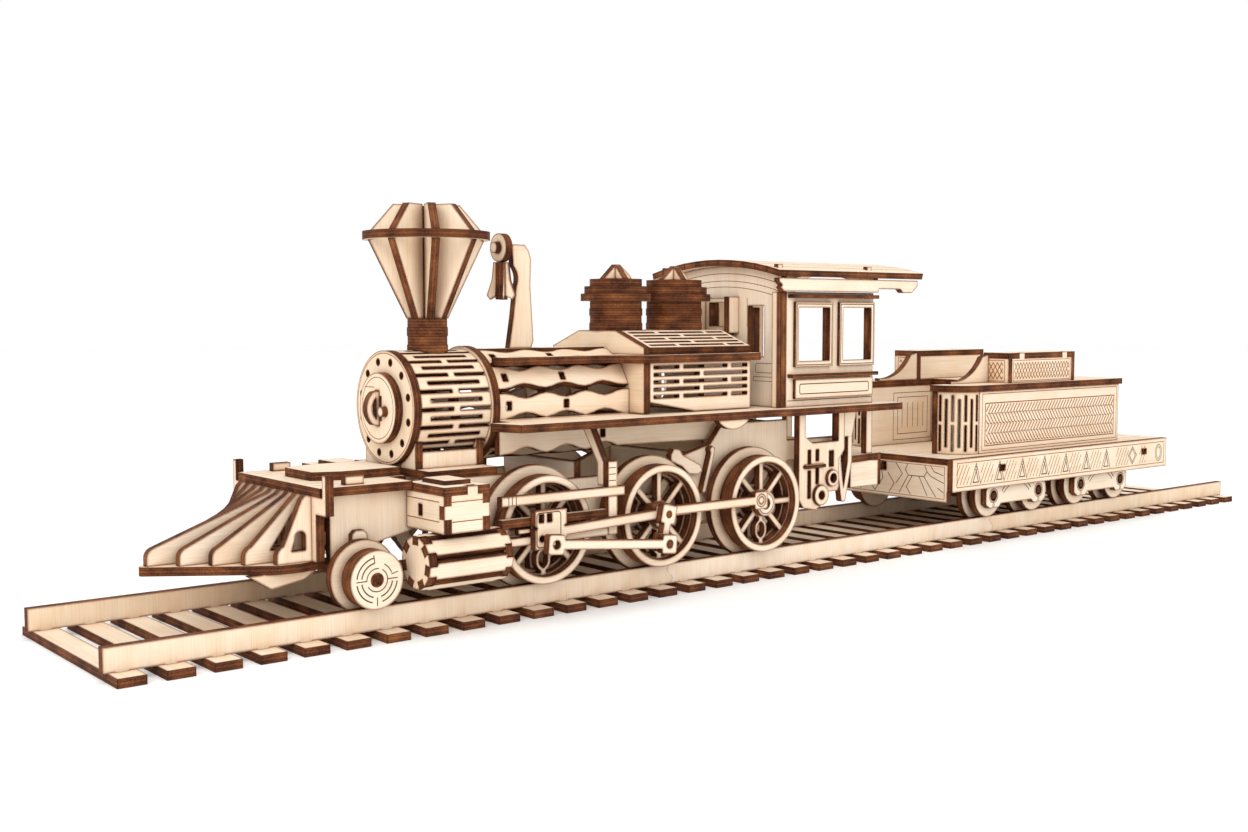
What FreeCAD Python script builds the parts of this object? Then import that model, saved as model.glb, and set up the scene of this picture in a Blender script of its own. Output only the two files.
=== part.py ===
import FreeCAD, Part
import math
import os

# Laser-cut plywood steam locomotive and tender on a straight ply track, in millimetres.
# X runs along the track towards the tender, Y across it, Z up. The origin is at the middle
# of the track, on the underside of the sleepers. Nearly every piece is one sheet of ply.

V = FreeCAD.Vector
os.makedirs("parts", exist_ok=True)

# ---- sheet and fits ----
ply = 3.0              # thickness of the sheet
fit = 0.1              # play of a tab in its slot, each way
run = 0.3              # space between a moving piece and what it passes
shaft_play = 0.08      # radial play of an axle or pin in its bearing
snug = 0.01            # radial play of a glued or pressed pin

# ---- track ----
sleeper_count = 44
sleeper_pitch = 15.0
sleeper_wide = 9.0
sleeper_long = 91.0
rail_gauge = 69.0      # between the inner faces of the rails
rail_high = 8.0
rail_over = 6.0        # rail beyond the middle of the end sleepers
rail_tab = 4.0
rail_wave = 1.5        # sideways swing of the wavy joint between rail lengths
rail_lengths = 3

rail_in = rail_gauge / 2
rail_out = rail_in + ply
rail_top = ply + rail_high
rail_end = (sleeper_count - 1) / 2 * sleeper_pitch + rail_over

# ---- wheels: rolling radius, flange height and places along the track ----
driver_r = 20.0
driver_lip = 3.0
driver_xs = [-168.5, -112.5, -56.5]
driver_spokes = 8
driver_rim = 3.6
spoke_wide = 2.3
loop_wide = 3.2        # half width of the loop in the lowest spoke
loop_rim = 1.1
hub_r = 6.0
pilot_r = 10.0
pilot_lip = 2.5
pilot_x = -239.0
tender_r = 10.5
tender_lip = 2.5
bogie_xs = [117.5, 192.0]
bogie_base = 37.0      # distance between the two axles of a bogie
flange_play = 0.8      # flange to the inner face of the rail
tread_drop = 2.2       # recess of the ply between flange and tread
axle_r = 2.5

flange_out = rail_in - flange_play
flange_in = flange_out - ply
tread_out = flange_out + 3 * ply
tender_tread_out = flange_out + 2 * ply
driver_z = rail_top + run + driver_r
pilot_z = rail_top + run + pilot_r
tender_z = rail_top + run + tender_r

# ---- rods ----
crank_ahead = 6.0      # crank pin of the coupling and main rods, ahead of and above the axle
crank_up = 2.2
return_ahead = 8.5     # pin of the return crank, ahead of and below the axle
return_drop = 8.6
pin_r = 1.5
rod_high = 3.4
rod_eye = 3.6
main_rod_long = 48.0
main_rod_drop = 2.0    # the main rod's front end lies this much lower than its crank pin
valve_rod_long = 53.5
valve_rod_rise = 5.3
guide_y = tread_out + run
rod_y1 = guide_y + ply + run
rod_y2 = rod_y1 + ply + run
rod_y3 = rod_y2 + ply + run

# ---- engine body ----
frame_y = 24.0         # inner face of the two frame plates
frame_front = -248.0
frame_rear = 12.0
boiler_z = 75.4        # height of the boiler's centre line
boiler_r = 21.0
boiler_sides = 12
smokebox_front = -211.0
smokebox_rear = -175.0
saddle_half = 15.0
saddle_seat = boiler_z - 24.4     # underside of the saddle's floor plate
door_r = 13.0
firebox_front = -112.0
firebox_half = 30.0
firebox_low = boiler_z - 5.1
firebox_crown = boiler_z + 27.6
crown_half = 12.0
slope_foot = boiler_z + boiler_r      # outer edge of the sloped panels, above the shelf
shelf_z = boiler_z + 15.1
shelf_half = 34.0
shelf_front = -174.0
board_z = 67.0         # underside of the running boards and the cab floor
board_half = 44.0
board_front = -183.5
board_rear = 29.3
board_neck = guide_y - 1.0
cab_front = -38.5
cab_rear = 17.0
cab_half = 36.0
cab_high = 119.0
roof_front = -47.4
roof_rear = 45.9
roof_half = cab_half + 4.0
roof_edge = 125.3      # underside of the roof at its sides
roof_rise = 5.2
roof_slats = 11
beam_front = -254.0
beam_half = 36.0
beam_top = 49.0
deck_half = 32.0
pilot_tip = -303.0
pilot_half = 27.0
pilot_low = 24.0       # underside of the cowcatcher's base plate
pilot_ribs = 9

# ---- chimney, bell and domes ----
stack_x = -192.5
stack_neck_r = 7.6
stack_neck_top = boiler_z + 32.6
stack_ring_z = stack_neck_top + 29.0
stack_ring_r = 23.5
stack_top_r = 12.3
stack_top = stack_ring_z + 13.0
stack_ribs = 8
bell_x = -159.0
bell_z = boiler_z + 59.8
post_front = -155.0
dome_xs = [-102.0, -70.0]
dome_rs = [11.0, 12.0]

# ---- cylinders ----
chest_front = -218.5
chest_rear = -200.0
chest_low = 35.5
chest_top = 51.4
chest_in = 27.5
chest_out = 52.0
cyl_front = -225.0
cyl_rear = -191.0
cyl_y = 44.0
cyl_z = 25.6
cyl_r = 9.0

# ---- tender ----
beam_x0 = 62.0
beam_x1 = 250.0
beam_y = 43.6          # inner face of the tender's side beams
beam_low = 26.5
tender_deck = 39.0     # underside of the tender's deck
tank_x0 = 79.0
tank_x1 = 215.0
tank_half = 38.0
tank_in = 21.0
tank_high = 72.4
well_x1 = 132.0        # rear end of the coal well between the legs
tank_corner = 14.0
box_x0 = 119.0
box_x1 = 176.0
box_high = 15.0


# ---- sheet helpers ----
def path(points, at):
    # Closed wire through 2-D points; a point given as ("arc", a, b) is a point on an arc between its neighbours.
    edges = []
    count = len(points)
    for i in range(count):
        here = points[i]
        after = points[(i + 1) % count]
        if here[0] == "arc":
            continue
        if after[0] == "arc":
            last = points[(i + 2) % count]
            edges.append(Part.Arc(at(*here), at(*after[1:]), at(*last)).toShape())
        else:
            edges.append(Part.LineSegment(at(*here), at(*after)).toShape())
    return Part.Wire(edges)


def sheet(outline, holes, at, thick):
    # One piece cut from sheet: the outline and holes are 2-D, "at" puts them in space, "thick" is a vector.
    wires = []
    for line in [outline] + list(holes):
        if line[0] == "round":
            centre = at(line[1], line[2])
            wires.append(Part.Wire([Part.makeCircle(line[3], centre, thick)]))
        else:
            wires.append(path(line, at))
    face = Part.makeFace(wires, "Part::FaceMakerBullseye")
    return face.extrude(thick)


def flat(outline, z, holes=(), thick=ply):
    # Sheet lying level; its points are (x, y).
    return sheet(outline, holes, lambda a, b: V(a, b, z), V(0, 0, thick))


def upright(outline, y, holes=(), thick=ply):
    # Sheet standing along the track; its points are (x, z).
    return sheet(outline, holes, lambda a, b: V(a, y, b), V(0, thick, 0))


def across(outline, x, holes=(), thick=ply):
    # Sheet standing across the track; its points are (y, z).
    return sheet(outline, holes, lambda a, b: V(x, a, b), V(thick, 0, 0))


def rect(a0, a1, b0, b1):
    return [(a0, b0), (a1, b0), (a1, b1), (a0, b1)]


def ring(a, b, r):
    return ("round", a, b, r)


def block(x0, x1, y0, y1, z0, z1):
    return Part.makeBox(x1 - x0, y1 - y0, z1 - z0, V(x0, y0, z0))


def rod_between(start, end, r):
    way = end.sub(start)
    return Part.makeCylinder(r, way.Length, start, way)


def other_side(shape):
    return shape.mirror(V(0, 0, 0), V(0, 1, 0))


def both(shapes):
    return list(shapes) + [other_side(shape) for shape in shapes]


def turned(shape, point, axis, degrees):
    copy = shape.copy()
    copy.rotate(point, axis, degrees)
    return copy


def save(name, pieces):
    Part.makeCompound(pieces).exportStep("parts/" + name + ".step")


def wave(a0, a1, b, swing, bumps, steps=6):
    # Points along a gently waved edge from a0 to a1 at height b.
    points = []
    count = bumps * steps
    for i in range(1, count):
        share = i / count
        lift = swing * (1 - math.cos(2 * math.pi * bumps * share)) / 2
        points.append((a0 + (a1 - a0) * share, b + lift))
    return points


# ---- track ----
def sleeper_x(index):
    return (index - (sleeper_count - 1) / 2) * sleeper_pitch


def sleepers():
    pieces = []
    for index in range(sleeper_count):
        x = sleeper_x(index)
        slot = rail_tab / 2 + fit
        holes = []
        for side in (-1, 1):
            edges = sorted([side * (rail_in - fit), side * (rail_out + fit)])
            holes.append(rect(x - slot, x + slot, edges[0], edges[1]))
        half = sleeper_wide / 2
        pieces.append(flat(rect(x - half, x + half, -sleeper_long / 2, sleeper_long / 2), 0, holes))
    return pieces


def wavy_end(x, rising):
    points = []
    for i in range(9):
        z = ply + rail_high * i / 8
        points.append((x + rail_wave * math.sin(2 * math.pi * i / 8), z))
    return points if rising else points[::-1]


def rail(y):
    pieces = []
    cuts = [round(sleeper_count * k / rail_lengths) for k in range(1, rail_lengths)]
    ends = [-rail_end] + [sleeper_x(k - 0.5) for k in cuts] + [rail_end]
    for k in range(rail_lengths):
        low, high = ends[k], ends[k + 1]
        points = []
        if k == 0:
            points += [(low, rail_top), (low, ply)]
        else:
            points += wavy_end(low + fit / 2, False)
        for index in range(sleeper_count):
            x = sleeper_x(index)
            if low < x < high:
                half = rail_tab / 2
                points += [(x - half, ply), (x - half, 0), (x + half, 0), (x + half, ply)]
        if k == rail_lengths - 1:
            points += [(high, ply), (high, rail_top)]
        else:
            points += wavy_end(high - fit / 2, True)
        pieces.append(upright(points, y))
    return pieces


# ---- wheels ----
def disc(x, z, r, hole, y):
    return upright(ring(x, z, r), y, [ring(x, z, hole)])


def spoke_holes(x, z, r_out, r_in, count, wide, low_wide):
    # Openings between the spokes; the spoke straight down is a wider web.
    holes = []
    step = 2 * math.pi / count
    for k in range(count):
        first = -math.pi / 2 + k * step
        last = first + step
        w_first = low_wide if k == 0 else wide
        w_last = low_wide if k == count - 1 else wide
        a_out = [first + math.asin(w_first / 2 / r_out), last - math.asin(w_last / 2 / r_out)]
        a_in = [first + math.asin(w_first / 2 / r_in), last - math.asin(w_last / 2 / r_in)]

        def at(r, a):
            return (x + r * math.cos(a), z + r * math.sin(a))

        holes.append([at(r_in, a_in[0]), at(r_out, a_out[0]), ("arc",) + at(r_out, sum(a_out) / 2),
                      at(r_out, a_out[1]), at(r_in, a_in[1]), ("arc",) + at(r_in, sum(a_in) / 2)])
    return holes


def oval(x, z, wide, high):
    # Oval through eight points, as half width and half height.
    points = []
    for k in range(8):
        a = k * math.pi / 4
        spot = (x + wide * math.cos(a), z + high * math.sin(a))
        points.append(("arc",) + spot if k % 2 else spot)
    return points


def driver_half(x):
    # Plies of one driving wheel on the -Y side: flange, recessed tread ply, spokes with a loop, and outer rim.
    r = driver_r
    z = driver_z
    bore = axle_r + snug
    inner = r - driver_rim
    spokes = spoke_holes(x, z, inner, hub_r, driver_spokes, spoke_wide, spoke_wide)
    broad = spoke_holes(x, z, inner, hub_r + 1.5, 5, 4.0, 4.0)
    pieces = [upright(ring(x, z, r + driver_lip), -flange_out, [ring(x, z, bore)] + broad)]
    y = -flange_out - ply
    pieces.append(upright(ring(x, z, r - tread_drop), y, [ring(x, z, inner - 1)]))
    pieces.append(disc(x, z, hub_r, bore, y))
    y -= ply
    loop_z = z - (inner + hub_r) / 2
    loop_high = (inner - hub_r) / 2 - 0.8
    spoke_ply = upright(ring(x, z, r), y, [ring(x, z, bore)] + spokes)
    spoke_ply = spoke_ply.fuse(upright(oval(x, loop_z, loop_wide, loop_high), y))
    spoke_ply = spoke_ply.cut(upright(oval(x, loop_z, loop_wide - loop_rim, loop_high - loop_rim), y))
    pieces.append(spoke_ply.Solids[0])
    y -= ply
    pieces.append(upright(ring(x, z, r), y, [ring(x, z, inner + 0.8)]))
    pieces.append(disc(x, z, hub_r - 0.8, bore, y))
    return pieces


def axle(x, z, half):
    return rod_between(V(x, -half, z), V(x, half, z), axle_r)


def driver_set(number):
    # Driving wheelset; the second has the return crank outside its rods.
    x = driver_xs[number]
    pieces = both(driver_half(x)) + [axle(x, driver_z, tread_out)]
    pins = []
    if number > 0:
        pin_x = x - crank_ahead
        pin_z = driver_z + crank_up
        top = rod_y2 + ply if number == 1 else guide_y + ply
        pins.append(rod_between(V(pin_x, -tread_out, pin_z), V(pin_x, -top, pin_z), pin_r))
        pins.append(crank_web(x))
    if number == 1:
        low_x = x - return_ahead
        low_z = driver_z - return_drop
        pins.append(rod(low_x, low_z, pin_x, pin_z, rod_y2, True, True))
        pins.append(rod_between(V(low_x, -rod_y2, low_z), V(low_x, -rod_y3 - ply, low_z), pin_r))
    return pieces + both(pins)


def crank_web(x):
    # Boss that fills the rim's recess between the hub and the crank pin.
    way = V(-crank_ahead, 0, crank_up)
    reach = way.Length + pin_r + 0.6
    way.normalize()
    start = V(x, 0, driver_z) + way * (hub_r - 0.7)
    end = V(x, 0, driver_z) + way * reach
    side = V(way.z, 0, -way.x) * 2.0
    points = [start + side, end + side, end - side, start - side]
    outline = [(p.x, p.z) for p in points]
    return upright(outline, -tread_out, [], ply)


def plain_set(x, z, r, lip, out):
    # Solid-disc wheelset: flange ply, recessed ply and tread plies on both sides of a round axle.
    bore = axle_r + snug
    half = [disc(x, z, r + lip, bore, -flange_out), disc(x, z, r - tread_drop, bore, -flange_out - ply)]
    for k in range(2, 1 + round((out - flange_out) / ply)):
        half.append(disc(x, z, r, bore, -flange_out - k * ply))
    return both(half) + [axle(x, z, out)]


# ---- rods and crossheads ----
def rod(x0, z0, x1, z1, y, left_eye, right_eye):
    # Straight rod with square-ended eyes that turn on pins; its inner face is at -y.
    hole = pin_r + shaft_play
    half = rod_high / 2
    eye = rod_eye
    way = V(x1 - x0, 0, z1 - z0)
    long = way.Length
    outline = []
    if left_eye:
        outline += [(-eye, -eye + 0.6), (-eye + 0.6, -eye), (eye - 0.6, -eye), (eye, -eye + 0.6), (eye, -half)]
    else:
        outline += [(-half, -half)]
    if right_eye:
        outline += [(long - eye, -half), (long - eye, -eye + 0.6), (long - eye + 0.6, -eye),
                    (long + eye - 0.6, -eye), (long + eye, -eye + 0.6), (long + eye, eye - 0.6),
                    (long + eye - 0.6, eye), (long - eye + 0.6, eye), (long - eye, eye - 0.6),
                    (long - eye, half)]
    else:
        outline += [(long + half, -half), (long + half, half)]
    if left_eye:
        outline += [(eye, half), (eye, eye - 0.6), (eye - 0.6, eye), (-eye + 0.6, eye), (-eye, eye - 0.6)]
    else:
        outline += [(-half, half)]
    holes = []
    if left_eye:
        holes.append(ring(0, 0, hole))
    if right_eye:
        holes.append(ring(long, 0, hole))
    piece = upright(outline, -y - ply, holes)
    piece.rotate(V(0, 0, 0), V(0, 1, 0), -math.degrees(math.atan2(way.z, way.x)))
    piece.translate(V(x0, 0, z0))
    return piece


def crank_pin(number):
    return driver_xs[number] - crank_ahead, driver_z + crank_up


def coupling_rods():
    x0, z = crank_pin(1)
    x1, z = crank_pin(2)
    return both([rod(x0, z, x1, z, guide_y, True, True)])


def main_rods():
    # From the crank pin to the block that covers the crosshead.
    x, z = crank_pin(1)
    front = x - main_rod_long
    low = z - main_rod_drop
    bar = rod(front, low, x, z, rod_y1, False, True)
    x0 = front - 12.4
    x1 = front + 1.6
    waist = low + 1.9
    outline = [(x0, waist - 7.8), (x1, waist - 7.8), (x1, waist - 0.8), (x1 - 1.2, waist), (x1, waist + 0.8),
               (x1, waist + 6.2), (x0, waist + 6.2), (x0, waist + 0.8), (x0 + 1.2, waist), (x0, waist - 0.8)]
    holes = [rect(a, a + 2.2, waist + 1.9, waist + 5.0) for a in (x0 + 1.6, x0 + 5.2)]
    holes.append(ring(x0 + 3.0, waist - 3.9, 1.2))
    block_ply = upright(outline, -rod_y1 - ply, holes)
    return both([block_ply.fuse(bar).Solids[0]])


def valve_rods():
    # From the return crank's pin forward to the front of the crosshead.
    x = driver_xs[1] - return_ahead
    z = driver_z - return_drop
    back = math.sqrt(valve_rod_long ** 2 - valve_rod_rise ** 2)
    return both([rod(x - back, z + valve_rod_rise, x, z, rod_y3, True, True)])


guide_low = driver_z - 4.1
guide_high = driver_z + 5.7
guide_bar = 3.0
crosshead_x0 = -178.4
crosshead_x1 = -164.3
crosshead_stroke = 7.0  # each way from the middle
piston_rod_r = 1.2
hanger_x = -143.0


def crossheads():
    core_low = guide_low + guide_bar + fit
    core_high = guide_high - guide_bar - fit
    core = block(crosshead_x0, crosshead_x1, -guide_y - ply, -guide_y, core_low, core_high)
    mid = (core_low + core_high) / 2
    start = cyl_rear + crosshead_stroke + run
    y = -guide_y - ply / 2
    piston = rod_between(V(start, y, mid), V(crosshead_x0, y, mid), piston_rod_r)
    return both([core, piston])


# ---- engine frame ----
def frame_plates():
    # Side plates: low between the wheels, rising to the board under the firebox.
    top = board_z - ply
    mid = driver_z + 15.7
    low = driver_z - 7.3
    seat = smokebox_rear - 0.6
    x2 = driver_xs[1]
    x3 = driver_xs[2]
    outline = [(frame_front, beam_top), (frame_front, pilot_low + ply), (-226, pilot_low + 8),
               (-196, 38), (driver_xs[0] - 12, low), (x3 + 14, low), (-30, 40), (-28, 46),
               (frame_rear, 46), (frame_rear, 55), (-28, 55), (-28, top), (x3 - 10, top), (x3 - 17, mid + 9),
               (x3 - 33, mid + 5), (x2 + 10, mid), (seat, mid), (seat, saddle_seat),
               (smokebox_front - 1, saddle_seat), (smokebox_front - 1, beam_top)]
    bearing = axle_r + shaft_play
    holes = [ring(x, driver_z, bearing) for x in driver_xs]
    return both([upright(outline, -frame_y - ply, holes)])


def pilot_hangers():
    # Plates under the frame that carry the pilot wheels' axle.
    bearing = axle_r + shaft_play
    outline = [(-245, pilot_low + 3.2), (-245, 19), (-241, 15.5), (-237, 15.5), (-229, 21), (-229, 38), (-245, 38)]
    return both([upright(outline, -frame_y + run, [ring(pilot_x, pilot_z, bearing)])])


def frame_spreaders():
    inner = frame_y - fit
    pieces = []
    for x, low, high in ((-140.5, 30, 53), (-84.5, 30, 53), (-30.0, 42, 63)):
        pieces.append(across([(-inner, low), (inner, low), (inner, high), (-inner, high)], x - ply / 2,
                             [ring(0, (low + high) / 2, 8)]))
    pieces.append(flat(rect(-246, -229.2, -inner, inner), 38))
    pieces.append(flat(rect(-20, frame_rear, -inner, inner), 49))
    return pieces


def buffer_beam():
    horn = 2.4
    horn_top = 56.5
    h = beam_half
    outline = [(-h, 43), (-pilot_half - 2, 43), (-pilot_half - 2, pilot_low + ply), (pilot_half + 2, pilot_low + ply),
               (pilot_half + 2, 43), (h, 43), (h, horn_top), (h - horn, horn_top), (h - horn, beam_top),
               (-h + horn, beam_top), (-h + horn, horn_top), (-h, horn_top)]
    return [across(outline, beam_front)]


def front_deck():
    back = chest_front - fit
    h = deck_half
    outline = [(beam_front, -h), (back, -h), (back, -16), (smokebox_front - 1, -16), (smokebox_front - 1, 16),
               (back, 16), (back, h), (beam_front, h)]
    deck = flat(outline, beam_top)
    step = [(beam_front + 8, -10), (beam_front + 18, -14), (smokebox_front - 2, -14), (smokebox_front - 2, 14),
            (beam_front + 18, 14), (beam_front + 8, 10)]
    pad = flat(step, beam_top + ply)
    blocks = both([block(-243, -236, -29, -26, beam_top + ply, beam_top + 2 * ply)])
    return [deck, pad] + blocks


def pilot_base():
    rear = beam_front + ply
    h = pilot_half
    outline = [(pilot_tip + 1.0, -1.6), ("arc", pilot_tip, 0), (pilot_tip + 1.0, 1.6), (-266, h), (-258, h + 0.4),
               (rear, h - 2), (rear, -h + 2), (-258, -h - 0.4), (-266, -h)]
    base = flat(outline, pilot_low)
    low = pilot_low - 5.2
    skid = [(-276, pilot_low), (-268, low), (-256, low + 2), (rear, pilot_low)]
    skids = both([upright(skid, -h + 3, [])])
    return [base] + skids


def rib_y(index):
    pitch = (2 * pilot_half - 2 - ply) / (pilot_ribs - 1)
    return (index - (pilot_ribs - 1) / 2) * pitch


def rib_foot(y):
    # Front foot of the rib at y, a little behind the slanting edge of the base plate.
    reach = (-266 - pilot_tip) / pilot_half
    return pilot_tip + 2.0 + abs(y) * reach + 0.8 * abs(y) / pilot_half


def cowcatcher_ribs():
    pieces = []
    z0 = pilot_low + ply
    top = beam_top
    back = beam_front
    for index in range(pilot_ribs):
        y = rib_y(index)
        foot = rib_foot(y)
        outline = [(foot, z0), (back, z0), (back, top), (back - 2.2, top + 0.6), (back - 3.6, top - 0.8),
                   (foot + 2.4, z0 + 6.0), ("arc", foot + 0.6, z0 + 4.6), (foot, z0 + 2.8)]
        long = back - foot
        holes = []
        if long > 16:
            x0, x1 = foot + 0.42 * long, back - 4.0
            rise = (top - z0 - 6) / (long - 6)
            lift = (x1 - foot - 2.4) * rise
            holes.append([(x0, z0 + 4.2), (x1, z0 + 4.2), (x1, z0 + lift + 0.5)])
        else:
            mid = back - 5.0
            holes.append([(mid - 2.6, z0 + 4), (mid + 2.6, z0 + 4), (mid + 2.6, z0 + 8.5), ("arc", mid + 0.4, z0 + 10.6),
                          (mid - 1.2, z0 + 8.2)])
        pieces.append(upright(outline, y - ply / 2, holes))
    return pieces


# ---- smokebox and boiler ----
def saddle():
    # Open box under the smokebox: side plates and corner plates cut to its curve, on a floor plate.
    half = saddle_half
    low = saddle_seat + ply
    x0 = smokebox_front + 2.0
    x1 = smokebox_rear - ply - 2.0
    arch = boiler_r + 0.4

    def under(y):
        return boiler_z - math.sqrt(arch ** 2 - y ** 2)

    side = block(x0 + ply, x1 - ply, -half - ply, -half, low, under(half))
    inner = 7.5
    out = half + ply
    mid = (inner + out) / 2
    outline = [(-out, low), (-inner, low), (-inner, under(inner)), ("arc", -mid, under(mid)), (-out, under(out))]
    ends = [across(outline, x0), across(outline, x1 - ply)]
    floor = flat(rect(x0, x1, -frame_y - ply, frame_y + ply), saddle_seat)
    return both([side] + ends) + [floor]


def smokebox_rings():
    hole = 9.0
    bolt_holes = []
    for k in range(12):
        a = math.radians(30 * k + 15)
        bolt_holes.append(ring(17.2 * math.cos(a), boiler_z + 17.2 * math.sin(a), 1.0))
    front = across(ring(0, boiler_z, boiler_r), smokebox_front, [ring(0, boiler_z, hole)] + bolt_holes)
    back = across(ring(0, boiler_z, boiler_r + 1.2), smokebox_rear - ply,
                  [ring(0, boiler_z, hole)])
    hub = across(ring(0, boiler_z, boiler_r - 2.7), smokebox_front + ply, [ring(0, boiler_z, hole)])
    return [front, back, hub]


def smokebox_door():
    x = smokebox_front - ply
    plate = across(ring(0, boiler_z, door_r), x)
    handle = [(x, boiler_z - 6.5), (x - 2.5, boiler_z - 6), ("arc", x - 5.2, boiler_z), (x - 2.5, boiler_z + 6),
              (x, boiler_z + 6.5)]
    grip = [(x - 1.2, boiler_z - 4), ("arc", x - 3.0, boiler_z), (x - 1.2, boiler_z + 4)]
    knob = across(ring(-5.5, boiler_z - 1.0, 1.8), x - 2.0, [], 2.0)
    return [plate, upright(handle, -ply / 2, [grip]), knob]


def smokebox_wrap():
    # Sheet bent round the rings, with staggered slits that let it bend.
    x0 = smokebox_front + ply
    x1 = smokebox_rear - ply
    thick = 2.2
    outer = Part.makeCylinder(boiler_r - 0.1, x1 - x0, V(x0, 0, boiler_z), V(1, 0, 0))
    inner = Part.makeCylinder(boiler_r - 0.1 - thick, x1 - x0, V(x0, 0, boiler_z), V(1, 0, 0))
    shell = outer.cut(inner)
    cuts = [Part.makeBox(x1 - x0 + 2, 30, 20, V(x0 - 1, -15, boiler_z - boiler_r - 14))]
    pitch = 9.0
    rows = 15
    mid = (x0 + x1) / 2
    long = x1 - x0
    for k in range(-rows, rows + 1):
        high = 1.3
        if k % 2:
            spans = [(x0 + 4, x1 - 4)]
        else:
            spans = [(x0 - 1, mid - 1.4), (mid + 1.4, x1 + 1)]
        for a, b in spans:
            slit = Part.makeBox(b - a, high, 8, V(a, -high / 2, boiler_z + boiler_r - 5))
            cuts.append(turned(slit, V(0, 0, boiler_z), V(1, 0, 0), k * pitch))
    return [shell.cut(cuts)]


def polygon(sides, apothem, turn=0.0):
    r = apothem / math.cos(math.pi / sides)
    points = []
    for k in range(sides):
        a = 2 * math.pi * (k + 0.5) / sides + turn
        points.append((r * math.cos(a), boiler_z + r * math.sin(a)))
    return points


def boiler_rings():
    inner = boiler_r - ply - fit
    hole = ring(0, boiler_z, 11)
    first = smokebox_rear
    front = across(polygon(boiler_sides, inner), first, [hole])
    rings = [front]
    for x in (-155.0, -133.5):
        rings.append(across(polygon(boiler_sides, inner), x, [hole]))
    return rings


def boiler_strips():
    # Long waved strips that clad the boiler between the smokebox and the firebox.
    x0 = smokebox_rear + fit
    x1 = firebox_front - fit
    pieces = []
    half = (boiler_r - ply) * math.tan(math.pi / boiler_sides) - 0.15
    swing = 2.0
    z0 = boiler_z + boiler_r - ply
    for k in range(boiler_sides):
        if k in (boiler_sides // 3, 2 * boiler_sides // 3):
            continue
        up = wave(x0 + 3, x1 - 3, half, -swing, 3)
        down = [(a, -b) for a, b in up][::-1]
        outline = [(x0, half), (x0 + 3, half)] + up + [(x1 - 3, half), (x1, half), (x1, -half), (x1 - 3, -half)]
        outline += down + [(x0 + 3, -half), (x0, -half)]
        mid = (x0 + x1) / 2
        tab = rect(mid - 1.2, mid + 1.2, -1.6, 1.6)
        strip = flat(outline, z0, [tab, rect(x0 + 3.4, x0 + 5.8, -1.6, 1.6)])
        pieces.append(turned(strip, V(0, 0, boiler_z), V(1, 0, 0), k * 360.0 / boiler_sides))
    return pieces


def firebox_rings():
    h = firebox_half
    outline = [(-h, firebox_low), (h, firebox_low), (h, shelf_z - fit), (-h, shelf_z - fit)]
    upper = [(-h, shelf_z + ply), (h, shelf_z + ply), (h, slope_foot), (crown_half, firebox_crown),
             (-crown_half, firebox_crown), (-h, slope_foot)]
    hole = ring(0, boiler_z, 11)
    lower = across(outline, firebox_front, [])
    cap = across(upper, firebox_front)
    back = across([(-h + ply + fit, firebox_low), (h - ply - fit, firebox_low), (h - ply - fit, shelf_z - fit),
                   (-h + ply + fit, shelf_z - fit)], -80.0, [ring(0, firebox_low + 10, 7)])
    return [lower, cap, back]


def slit_rows(x0, x1, z0, z1, rows, high):
    # Staggered slits: odd rows have one bridge in the middle, even rows have two.
    holes = []
    pitch = (z1 - z0) / rows
    long = x1 - x0
    edge = 2.0
    bridge = 2.4
    for k in range(rows):
        z = z0 + (k + 0.5) * pitch
        if k % 2:
            stops = [x0 + long / 2]
        else:
            stops = [x0 + long * 0.3, x0 + long * 0.78]
        starts = [x0 + edge] + [s + bridge / 2 for s in stops]
        ends = [s - bridge / 2 for s in stops] + [x1 - edge]
        for a, b in zip(starts, ends):
            holes.append(rect(a, b, z - high / 2, z + high / 2))
    return holes


def firebox_wrap():
    x0 = firebox_front + ply
    x1 = cab_front - ply - 12.0
    z0 = firebox_low
    z1 = shelf_z - fit
    outline = [(x0, z0 + 4.4), (x0 + 24, z0), (x1, z0), (x1, z1), (x0, z1)]
    side = upright(outline, -firebox_half, slit_rows(x0, x1, z0 + 5.0, z1 - 0.4, 5, 1.3))
    rise = firebox_crown - slope_foot
    span = firebox_half - crown_half
    long = math.hypot(rise, span)
    slope = math.degrees(math.atan2(rise, span))
    top = flat(rect(x0, x1, 0, long), 0, slit_rows(x0, x1, 0.8, long - 1, 5, 1.3))
    top = turned(top, V(0, 0, 0), V(1, 0, 0), slope)
    lean = math.radians(slope)
    top.translate(V(0, -firebox_half + math.sin(lean) * ply, slope_foot - math.cos(lean) * ply))
    crown = flat(rect(x0, x1, -crown_half + 3, crown_half - 3), firebox_crown - ply)
    return both([side, top]) + [crown]


def belly_plates():
    # Long plates below the level strips; they run on under the firebox and end in a blunt point.
    x0 = smokebox_rear + fit
    x1 = firebox_front - fit
    tip = driver_xs[2] + 3.0
    low = boiler_z - 18.4
    top = boiler_z - boiler_r * math.tan(math.pi / boiler_sides) + 0.8
    outline = [(x0, low)] + wave(x0 + 3, x1 - 3, low, 2.6, 3)
    outline += [(tip - 2.2, low), (tip, low + 2.6), (tip - 8.5, board_z), (x1, board_z), (x1, top), (x0, top)]
    slot = rect(x0 + 48, x0 + 50.4, low + 4.4, low + 7.6)
    return both([upright(outline, -boiler_r, [slot])])


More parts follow.
